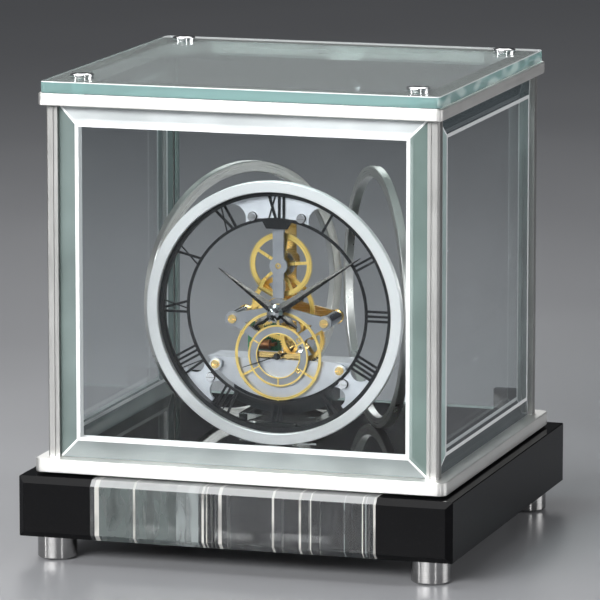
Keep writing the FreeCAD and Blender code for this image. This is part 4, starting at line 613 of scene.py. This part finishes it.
POLE_CAP_LONG, COPPER_BAND_LONG = 0.0012, 0.014
SLEEVE_DARK, SLEEVE_COPPER, POLE_GREY = (0.045, 0.05, 0.06), (0.55, 0.32, 0.14), (0.7, 0.7, 0.7)
sleeve = material_of("battery_sleeve", (0.10, 0.11, 0.13), metallic=0.3, roughness=0.3)
sleeve_x = node_in(sleeve, "SeparateXYZ", inputs={0: own_place(sleeve)}).outputs["X"]
cell_low, cell_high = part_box("battery")
pole_from = cell_high[0] - POLE_CAP_LONG
pole_mask = node_in(sleeve, "Math", operation="GREATER_THAN",
                    inputs={0: sleeve_x, 1: pole_from}).outputs[0]
copper_mask = within(sleeve, sleeve_x, cell_high[0] - COPPER_BAND_LONG, pole_from)
sleeve_tone = blend_colour(sleeve, copper_mask, SLEEVE_DARK, SLEEVE_COPPER)
wire(sleeve, "Base Color", blend_colour(sleeve, pole_mask, sleeve_tone, POLE_GREY))
wire(sleeve, "Roughness", spread(sleeve, noise_at(sleeve, own_place(sleeve), scale=300.0), 0.24, 0.38))
finish(sleeve, "battery")

board = material_of("solder_mask", (0.02, 0.13, 0.06), roughness=0.3)
tracks = node_in(board, "TexBrick", inputs={"Vector": own_place(board), "Scale": 260.0})
tracks.inputs["Color1"].default_value = (0.015, 0.12, 0.05, 1.0)
tracks.inputs["Color2"].default_value = (0.02, 0.14, 0.06, 1.0)
tracks.inputs["Mortar"].default_value = (0.05, 0.24, 0.10, 1.0)
wire(board, "Base Color", tracks.outputs["Color"])
wire(board, "Roughness", spread(board, noise_at(board, own_place(board), scale=500.0), 0.24, 0.40))
finish(board, "circuit_board")

copper = material_of("copper_winding", (0.62, 0.27, 0.12), metallic=1.0, roughness=0.3)
turns = node_in(copper, "TexWave", inputs={"Vector": own_place(copper), "Scale": 1400.0, "Distortion": 0.4})
wire(copper, "Base Color", blend_colour(copper, turns.outputs["Fac"], (0.36, 0.13, 0.05), (0.80, 0.40, 0.20)))
raised(copper, turns.outputs["Fac"], 0.00006)
finish(copper, "drive_coil")

# ---- Bearings and click -------------------------------------------------------------------------
# Small fittings on the front bridge: three turned bearings pressed into its face, one chrome and two
# brass, and the bent gilt click that stands behind the bar, cut from thin sheet.


def settled(piece, name, made):
    """Names a finished piece, gives it its finish and fixes it to the case."""
    piece.name = name
    piece.data.materials.clear()
    piece.data.materials.append(made)
    bpy.ops.object.shade_smooth_by_angle(angle=math.radians(35.0))
    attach(piece, "case")


def pick_faces(piece, wanted):
    """Leaves the piece in edit mode with only the wanted faces selected."""
    bpy.ops.object.mode_set(mode="EDIT")
    bpy.ops.mesh.select_mode(type="FACE")
    bpy.ops.mesh.select_all(action="DESELECT")
    bpy.ops.object.mode_set(mode="OBJECT")
    for face in piece.data.polygons:
        face.select = wanted(face)
    bpy.ops.object.mode_set(mode="EDIT")


def softened(piece, width, segments=2):
    """Rounds the piece's sharp edges."""
    bpy.ops.object.mode_set(mode="OBJECT")
    bevel = piece.modifiers.new("edge_round", "BEVEL")
    bevel.width, bevel.segments, bevel.limit_method = width, segments, "ANGLE"
    bpy.ops.object.modifier_apply(modifier="edge_round")


def turned_bearing(name, centre, radius, high, made):
    """A bearing facing forwards: a rounded rim round a dished middle with a raised eye."""
    lip = radius * 0.3
    bpy.ops.object.select_all(action="DESELECT")
    bpy.ops.mesh.primitive_cylinder_add(vertices=40, radius=radius, depth=high, location=centre,
                                        rotation=(math.pi / 2, 0.0, 0.0))
    piece = bpy.context.object
    bpy.ops.object.transform_apply(location=True, rotation=True, scale=True)
    pick_faces(piece, lambda face: face.normal.y < -0.9)
    bpy.ops.mesh.inset(thickness=lip)
    bpy.ops.transform.translate(value=(0.0, high * 0.4, 0.0))
    bpy.ops.mesh.inset(thickness=(radius - lip) * 0.45)
    bpy.ops.transform.translate(value=(0.0, -high * 0.25, 0.0))
    softened(piece, high * 0.12)
    settled(piece, name, made)


BRIDGE_FACE = float(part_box("front_bridge")[0][1])
BAR_BACK = float(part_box("front_bar")[1][1])
SECONDS_Z = HUB[2] - 0.02215
BEARING_HIGH, BEARING_SUNK = 0.0006, 0.0003
for name, x, z, radius, made, slot in (
        ("ringed_bearing", 0.0115, SECONDS_Z + 0.0040, 0.0015, chrome, "chrome"),
        ("gilt_bearing", 0.0102, SECONDS_Z - 0.0068, 0.0011, turned_brass, "brass"),
        ("bridge_bearing", 0.0148, HUB[2] - 0.0163, 0.0012, turned_brass, "brass")):
    turned_bearing(name, (x, BRIDGE_FACE - BEARING_SUNK, z), radius, BEARING_HIGH, made)

CLICK_LONG, CLICK_HIGH, CLICK_WIDE, CLICK_THICK = 0.0095, 0.0036, 0.0021, 0.00028
CLICK_TILT, CLICK_GAP = math.radians(-28.0), 0.00002
CLICK_X, CLICK_Z = -0.0112, HUB[2] + 0.0105
click_gilt = brushed("gilt_click", (0.90, 0.66, 0.20), "x", roughness=0.22, contrast=0.06)
bpy.ops.object.select_all(action="DESELECT")
bpy.ops.mesh.primitive_cube_add(size=1.0, location=(CLICK_LONG / 2, 0.0, CLICK_WIDE / 2),
                                scale=(CLICK_LONG, CLICK_THICK, CLICK_WIDE))
click = bpy.context.object
bpy.ops.object.transform_apply(location=True, rotation=True, scale=True)
pick_faces(click, lambda face: True)
bpy.ops.mesh.bisect(plane_co=(CLICK_WIDE, 0.0, 0.0), plane_no=(1.0, 0.0, 0.0))
pick_faces(click, lambda face: face.normal.z > 0.9 and face.center.x < CLICK_WIDE)
bpy.ops.mesh.extrude_region_move(TRANSFORM_OT_translate={"value": (0.0, 0.0, CLICK_HIGH)})
bpy.ops.mesh.select_all(action="SELECT")
bpy.ops.transform.rotate(value=CLICK_TILT, orient_axis="Y", center_override=(0.0, 0.0, 0.0))
bpy.ops.transform.translate(value=(CLICK_X, BAR_BACK + CLICK_THICK / 2 + CLICK_GAP, CLICK_Z))
softened(click, 0.00006, segments=1)
settled(click, "gilt_click", click_gilt)

# ---- Battery contacts and board parts -----------------------------------------------------------
# Bent spring plates at both ends of the battery bay, and on the board a moulded chip and the
# quartz crystal's little steel can, all soldered or pushed in by hand.
CONTACT_OUT, CONTACT_BEHIND = 0.02296, 0.0006
CONTACT_SIZE = (0.0004, 0.0070, 0.0072)
CONTACT_BORDER, CONTACT_DISH, CONTACT_TAB = 0.0018, 0.0003, 0.0012
cell = (cell_low + cell_high) / 2
nickel = brushed("spring_nickel", (0.70, 0.69, 0.66), "z", roughness=0.26, contrast=0.05)
for name, side in (("contact_left", -1.0), ("contact_right", 1.0)):
    bpy.ops.object.select_all(action="DESELECT")
    at_x = cell[0] + side * CONTACT_OUT
    bpy.ops.mesh.primitive_cube_add(size=1.0, scale=CONTACT_SIZE,
                                    location=(at_x, cell[1] + CONTACT_BEHIND, cell[2]))
    contact = bpy.context.object
    bpy.ops.object.transform_apply(location=True, rotation=True, scale=True)
    pick_faces(contact, lambda face: face.normal.x * side < -0.9)
    bpy.ops.mesh.inset(thickness=CONTACT_BORDER)
    bpy.ops.transform.translate(value=(-side * CONTACT_DISH, 0.0, 0.0))
    pick_faces(contact, lambda face: face.normal.y > 0.9)
    bpy.ops.mesh.extrude_region_move(TRANSFORM_OT_translate={"value": (0.0, CONTACT_TAB, 0.0)})
    softened(contact, 0.0001)
    settled(contact, name, nickel)

CHIP_SIZE = (0.0046, 0.0010, 0.0038)
CHIP_BORDER, CHIP_CROWN = 0.0003, 0.00015
board_low, board_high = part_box("circuit_board")
chip_place = (board_low[0] + 0.0050, board_low[1] - 0.0005, board_high[2] - 0.0036)
resin = material_of("chip_resin", (0.018, 0.018, 0.02), roughness=0.45)
wire(resin, "Roughness", spread(resin, noise_at(resin, own_place(resin), scale=1800.0), 0.38, 0.56))
bpy.ops.object.select_all(action="DESELECT")
bpy.ops.mesh.primitive_cube_add(size=1.0, location=chip_place, scale=CHIP_SIZE)
chip = bpy.context.object
bpy.ops.object.transform_apply(location=True, rotation=True, scale=True)
pick_faces(chip, lambda face: face.normal.y < -0.9)
bpy.ops.mesh.inset(thickness=CHIP_BORDER)
bpy.ops.transform.translate(value=(0.0, -CHIP_CROWN, 0.0))
softened(chip, 0.00008)
settled(chip, "board_chip", resin)

CAN_RADIUS, CAN_LONG = 0.0009, 0.0056
can_place = (board_high[0] - 0.0045, board_low[1] - CAN_RADIUS, board_high[2] - 0.0030)
bpy.ops.object.select_all(action="DESELECT")
bpy.ops.mesh.primitive_cylinder_add(vertices=32, radius=CAN_RADIUS, depth=CAN_LONG,
                                    location=can_place, rotation=(0.0, math.pi / 2, 0.0))
can = bpy.context.object
bpy.ops.object.transform_apply(location=True, rotation=True, scale=True)
pick_faces(can, lambda face: abs(face.normal.x) > 0.9)
bpy.ops.mesh.inset(thickness=0.0002, use_individual=True)
softened(can, 0.00015)
settled(can, "quartz_can", nickel)
